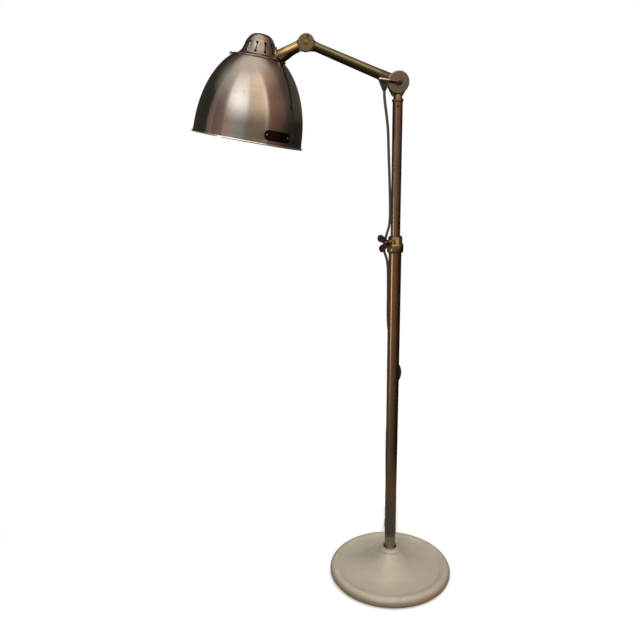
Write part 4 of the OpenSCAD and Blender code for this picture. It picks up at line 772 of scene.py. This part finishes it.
ribTree.links.new(ribDressed.outputs[0], ribOut.inputs[0])
ribBase = linked(bpy.data.objects.new("ribBase", bpy.data.meshes.new("ribBase")))
ribModifier = ribBase.modifiers.new("ribs", "NODES")
ribModifier.node_group = ribTree
for socketName, value in ribLook.items():
    ribModifier[ribSockets[socketName].identifier] = value
bpy.context.view_layer.update()
ribMesh = bpy.data.meshes.new_from_object(ribBase.evaluated_get(bpy.context.evaluated_depsgraph_get()))
bpy.data.objects.remove(ribBase)
ribMesh.name = "holderRibs"
ribMesh.transform(shadeFrame @ Matrix.Translation((0, 0, ribCentre)))
ribs = linked(bpy.data.objects.new("holderRibs", ribMesh))
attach(ribs, "head")
print("ribs on the holder:", ribLook["Count"])

# floor: pale and plain, it keeps the lamp's soft shadow and fades to white behind it
floorLook = {"pale": (0.93, 0.93, 0.93, 1), "rough": 0.9, "mirrored": (0.14, 0.135, 0.125, 1),
             "fades": (0.35, 1.1), "mirrorEnds": (0.4, 0.7), "size": 40, "below": 0.0002}
floorMaterial, floorTree, floorShader = startMaterial("paleFloor")
floorShader.inputs["Base Color"].default_value = floorLook["pale"]
floorShader.inputs["Roughness"].default_value = floorLook["rough"]
floorShader.inputs["Specular IOR Level"].default_value = 0.0
floorSplit = splitVector(floorTree, objectPosition(floorTree))
floorDistance = vectorMath(floorTree, "LENGTH", outFromAxis(floorTree, floorSplit))
floorGlow = addNode(floorTree, "ShaderNodeEmission", inputs={"Color": (1, 1, 1, 1), "Strength": 1.0})
floorDull = addNode(floorTree, "ShaderNodeBsdfDiffuse", inputs={"Color": floorLook["mirrored"]})
floorPath = addNode(floorTree, "ShaderNodeLightPath")
# mirrored in the metal, the floor ends a step away from the lamp and the room goes on below
floorClear = mathNode(floorTree, "MULTIPLY", floorPath.outputs["Is Glossy Ray"],
                      remap(floorTree, floorDistance, *floorLook["mirrorEnds"]))
floorFar = addNode(floorTree, "ShaderNodeMixShader", inputs={
    0: floorClear, 1: floorDull.outputs[0], 2: addNode(floorTree, "ShaderNodeBsdfTransparent").outputs[0]})
floorFade = addNode(floorTree, "ShaderNodeMixShader", inputs={
    0: remap(floorTree, floorDistance, *floorLook["fades"]),
    1: floorShader.outputs[0], 2: floorGlow.outputs[0]})
floorSeen = addNode(floorTree, "ShaderNodeMixShader", inputs={
    0: floorPath.outputs["Is Camera Ray"], 1: floorFar.outputs[0], 2: floorFade.outputs[0]})
floorTree.links.new(floorSeen.outputs[0], floorTree.nodes["Material Output"].inputs[0])
bpy.ops.mesh.primitive_plane_add(size=floorLook["size"], location=(0, 0, -floorLook["below"]))
floor = bpy.context.object
floor.name = "floor"
floor.data.materials.append(floorMaterial)

# white to the camera, an even glow to dull surfaces, and a room to mirrors
world = bpy.data.worlds.new("studio")
scene.world = world
world.use_nodes = True
worldTree = world.node_tree
worldTree.nodes.clear()
worldOutput = addNode(worldTree, "ShaderNodeOutputWorld")
worldPath = addNode(worldTree, "ShaderNodeLightPath")
roomWay = splitVector(worldTree, addNode(worldTree, "ShaderNodeTexCoord").outputs["Generated"])
bearing = mathNode(worldTree, "ARCTAN2", roomWay[0], mathNode(worldTree, "MULTIPLY", roomWay[1], -1.0))
bearingShare = mathNode(worldTree, "ADD", mathNode(worldTree, "MULTIPLY", bearing, 0.5 / math.pi), 0.5)


# bearing in degrees from straight in front, positive to the right, and the room's colour there
def roomRing(bands):
    ramp = addNode(worldTree, "ShaderNodeValToRGB", inputs={0: bearingShare})
    stops = ramp.color_ramp.elements
    for index, (degrees, colour) in enumerate(bands):
        place = degrees / 360 + 0.5
        stop = stops[index] if index < 2 else stops.new(place)
        stop.position = place
        stop.color = (*colour, 1)
    return ramp.outputs[0]


windowRing = roomRing([
    (-180, (0.1, 0.1, 0.085)), (-97, (0.12, 0.12, 0.1)), (-93, (0.55, 0.5, 0.45)), (-89, (0.34, 0.3, 0.27)),
    (-60, (0.38, 0.33, 0.3)), (-54, (0.6, 0.54, 0.48)), (-46, (2.0, 2.02, 1.98)), (-28, (2.7, 2.76, 2.76)),
    (-3, (2.1, 2.08, 1.98)), (5, (1.3, 1.1, 0.84)), (36, (1.6, 1.3, 0.97)), (42, (2.1, 1.75, 1.38)),
    (46, (1.3, 1.0, 0.75)), (48, (0.46, 0.3, 0.24)), (84, (0.34, 0.2, 0.16)), (92, (0.14, 0.13, 0.1)),
    (180, (0.1, 0.09, 0.07))])
tableRing = roomRing([
    (-180, (0.045, 0.045, 0.035)), (-97, (0.055, 0.055, 0.042)), (-92, (0.36, 0.31, 0.27)),
    (-87, (0.24, 0.18, 0.165)), (-83, (0.62, 0.42, 0.38)), (-79, (0.28, 0.2, 0.18)),
    (-54, (0.38, 0.29, 0.265)), (-48, (0.72, 0.48, 0.43)), (-40, (0.66, 0.44, 0.4)), (-36, (0.6, 0.59, 0.58)),
    (-8, (0.5, 0.49, 0.48)), (0, (0.36, 0.33, 0.28)), (36, (0.42, 0.34, 0.27)), (42, (0.95, 0.78, 0.6)),
    (45, (0.34, 0.2, 0.165)), (84, (0.2, 0.105, 0.085)), (92, (0.07, 0.065, 0.05)),
    (180, (0.045, 0.045, 0.035))])
highRing = roomRing([
    (-180, (0.1, 0.09, 0.075)), (-135, (0.18, 0.17, 0.15)), (-112, (0.5, 0.46, 0.41)),
    (-90, (0.8, 0.74, 0.67)), (-56, (1.0, 0.92, 0.83)), (-46, (1.75, 1.66, 1.52)), (-3, (1.95, 1.82, 1.66)),
    (5, (1.65, 1.44, 1.2)), (42, (1.9, 1.6, 1.28)), (50, (1.1, 0.86, 0.66)), (90, (0.76, 0.54, 0.4)),
    (110, (0.4, 0.29, 0.2)), (130, (0.12, 0.1, 0.07)), (180, (0.1, 0.09, 0.07))])
floorRing = roomRing([
    (-180, (0.05, 0.045, 0.035)), (-125, (0.14, 0.11, 0.08)), (-80, (0.3, 0.25, 0.2)),
    (-52, (0.52, 0.46, 0.4)), (-20, (0.6, 0.53, 0.45)), (0, (0.42, 0.36, 0.29)), (30, (0.3, 0.24, 0.18)),
    (58, (0.22, 0.16, 0.11)), (80, (0.1, 0.07, 0.05)), (100, (0.04, 0.035, 0.03)),
    (180, (0.04, 0.035, 0.03))])
lowRing = roomRing([
    (-180, (0.05, 0.04, 0.03)), (-125, (0.16, 0.14, 0.1)), (-68, (0.34, 0.25, 0.16)), (-66, (4.5, 4.0, 4.3)),
    (-58, (4.5, 4.0, 4.3)), (-56, (0.6, 0.44, 0.3)), (-20, (0.46, 0.34, 0.26)), (9, (0.34, 0.27, 0.22)),
    (30, (0.26, 0.18, 0.15)), (50, (0.16, 0.1, 0.08)), (75, (0.08, 0.05, 0.04)), (92, (0.03, 0.025, 0.02)),
    (180, (0.03, 0.025, 0.02))])
footRing = roomRing([
    (-180, (0.05, 0.045, 0.04)), (-110, (0.22, 0.2, 0.18)), (-50, (0.26, 0.25, 0.22)),
    (0, (0.17, 0.16, 0.14)), (45, (0.08, 0.075, 0.065)), (92, (0.02, 0.02, 0.02)), (180, (0.02, 0.02, 0.02))])
height = roomWay[2]
sillFall = 0.16  # the window's sill lies lower on the right, by this for each radian
sill = mathNode(worldTree, "ADD", height, mathNode(worldTree, "MULTIPLY", bearing, sillFall))
ceilingColour = (1.25, 1.13, 1.0)
underfootColour = (0.03, 0.027, 0.022)
# up from the table to the ceiling, then down from the skirting: each layer covers the one before
roomColour = tableRing
for way, begins, full, layer in (
        (sill, 0.2, 0.56, windowRing), (height, 0.5, 0.92, highRing), (height, 0.82, 1.0, ceilingColour),
        (height, 0.06, -0.03, floorRing), (height, -0.08, -0.15, lowRing), (height, -0.23, -0.42, footRing),
        (height, -0.7, -0.85, underfootColour)):
    roomColour = mixColour(worldTree, remap(worldTree, way, begins, full), roomColour, layer)
ambient = remap(worldTree, height, -0.1, 0.9, 0.3, 0.85)
seenColour = mixColour(worldTree, worldPath.outputs["Is Glossy Ray"], addNode(
    worldTree, "ShaderNodeCombineXYZ", inputs={0: ambient, 1: ambient, 2: ambient}).outputs[0], roomColour)
seenColour = mixColour(worldTree, worldPath.outputs["Is Camera Ray"], seenColour, (1, 1, 1))
background = addNode(worldTree, "ShaderNodeBackground", inputs={"Color": seenColour, "Strength": 1.0})
worldTree.links.new(background.outputs[0], worldOutput.inputs[0])

lights = [
    {"name": "windowLeft", "size": (0.5, 1.5), "place": (-0.95, -2.3, 1.65), "aim": (-0.15, 0, 0.95),
     "power": 34, "colour": (1.0, 0.97, 0.93)},
    {"name": "lampWarm", "size": (0.22, 1.3), "place": (0.0, -2.3, 1.75), "aim": (-0.15, 0, 1.0),
     "power": 12, "colour": (1.0, 0.74, 0.5)},
    {"name": "roomRight", "size": (1.0, 1.6), "place": (2.2, -1.2, 1.3), "aim": (0, 0, 0.7),
     "power": 14, "colour": (1.0, 0.8, 0.66)},
    {"name": "ceiling", "size": (2.4, 2.4), "place": (0.2, 0.3, 3.2), "aim": (0, 0, 0), "power": 46,
     "colour": (1.0, 0.98, 0.95)},
]
for light in lights:
    data = bpy.data.lights.new(light["name"], "AREA")
    data.shape = "RECTANGLE"
    data.size, data.size_y = light["size"]
    data.energy = light["power"]
    data.color = light["colour"]
    lamp = linked(bpy.data.objects.new(light["name"], data))
    lamp.location = light["place"]
    lamp.visible_glossy = False
    lamp.rotation_euler = (Vector(light["aim"]) - Vector(light["place"])).to_track_quat("-Z", "Y").to_euler()

# fitted to the base's ellipse, both tubes' edges and the shade's outline in the photograph; turns in degrees
cameraLook = {"lens": 37.89, "shift": (0.0411, 0.11556), "place": (-0.2256, -1.4275, 1.0596),
              "pitch": -21.59, "roll": -2.31}
cameraData = bpy.data.cameras.new("camera")
cameraData.sensor_width = 36
cameraData.lens = cameraLook["lens"]
cameraData.shift_x, cameraData.shift_y = cameraLook["shift"]
cameraData.clip_start = 0.01
camera = linked(bpy.data.objects.new("camera", cameraData))
camera.matrix_world = (Matrix.Translation(cameraLook["place"])
                       @ Matrix.Rotation(math.radians(90 + cameraLook["pitch"]), 4, "X")
                       @ Matrix.Rotation(math.radians(cameraLook["roll"]), 4, "Z"))
scene.camera = camera
scene.view_settings.view_transform = "Standard"
print("stage and camera set")
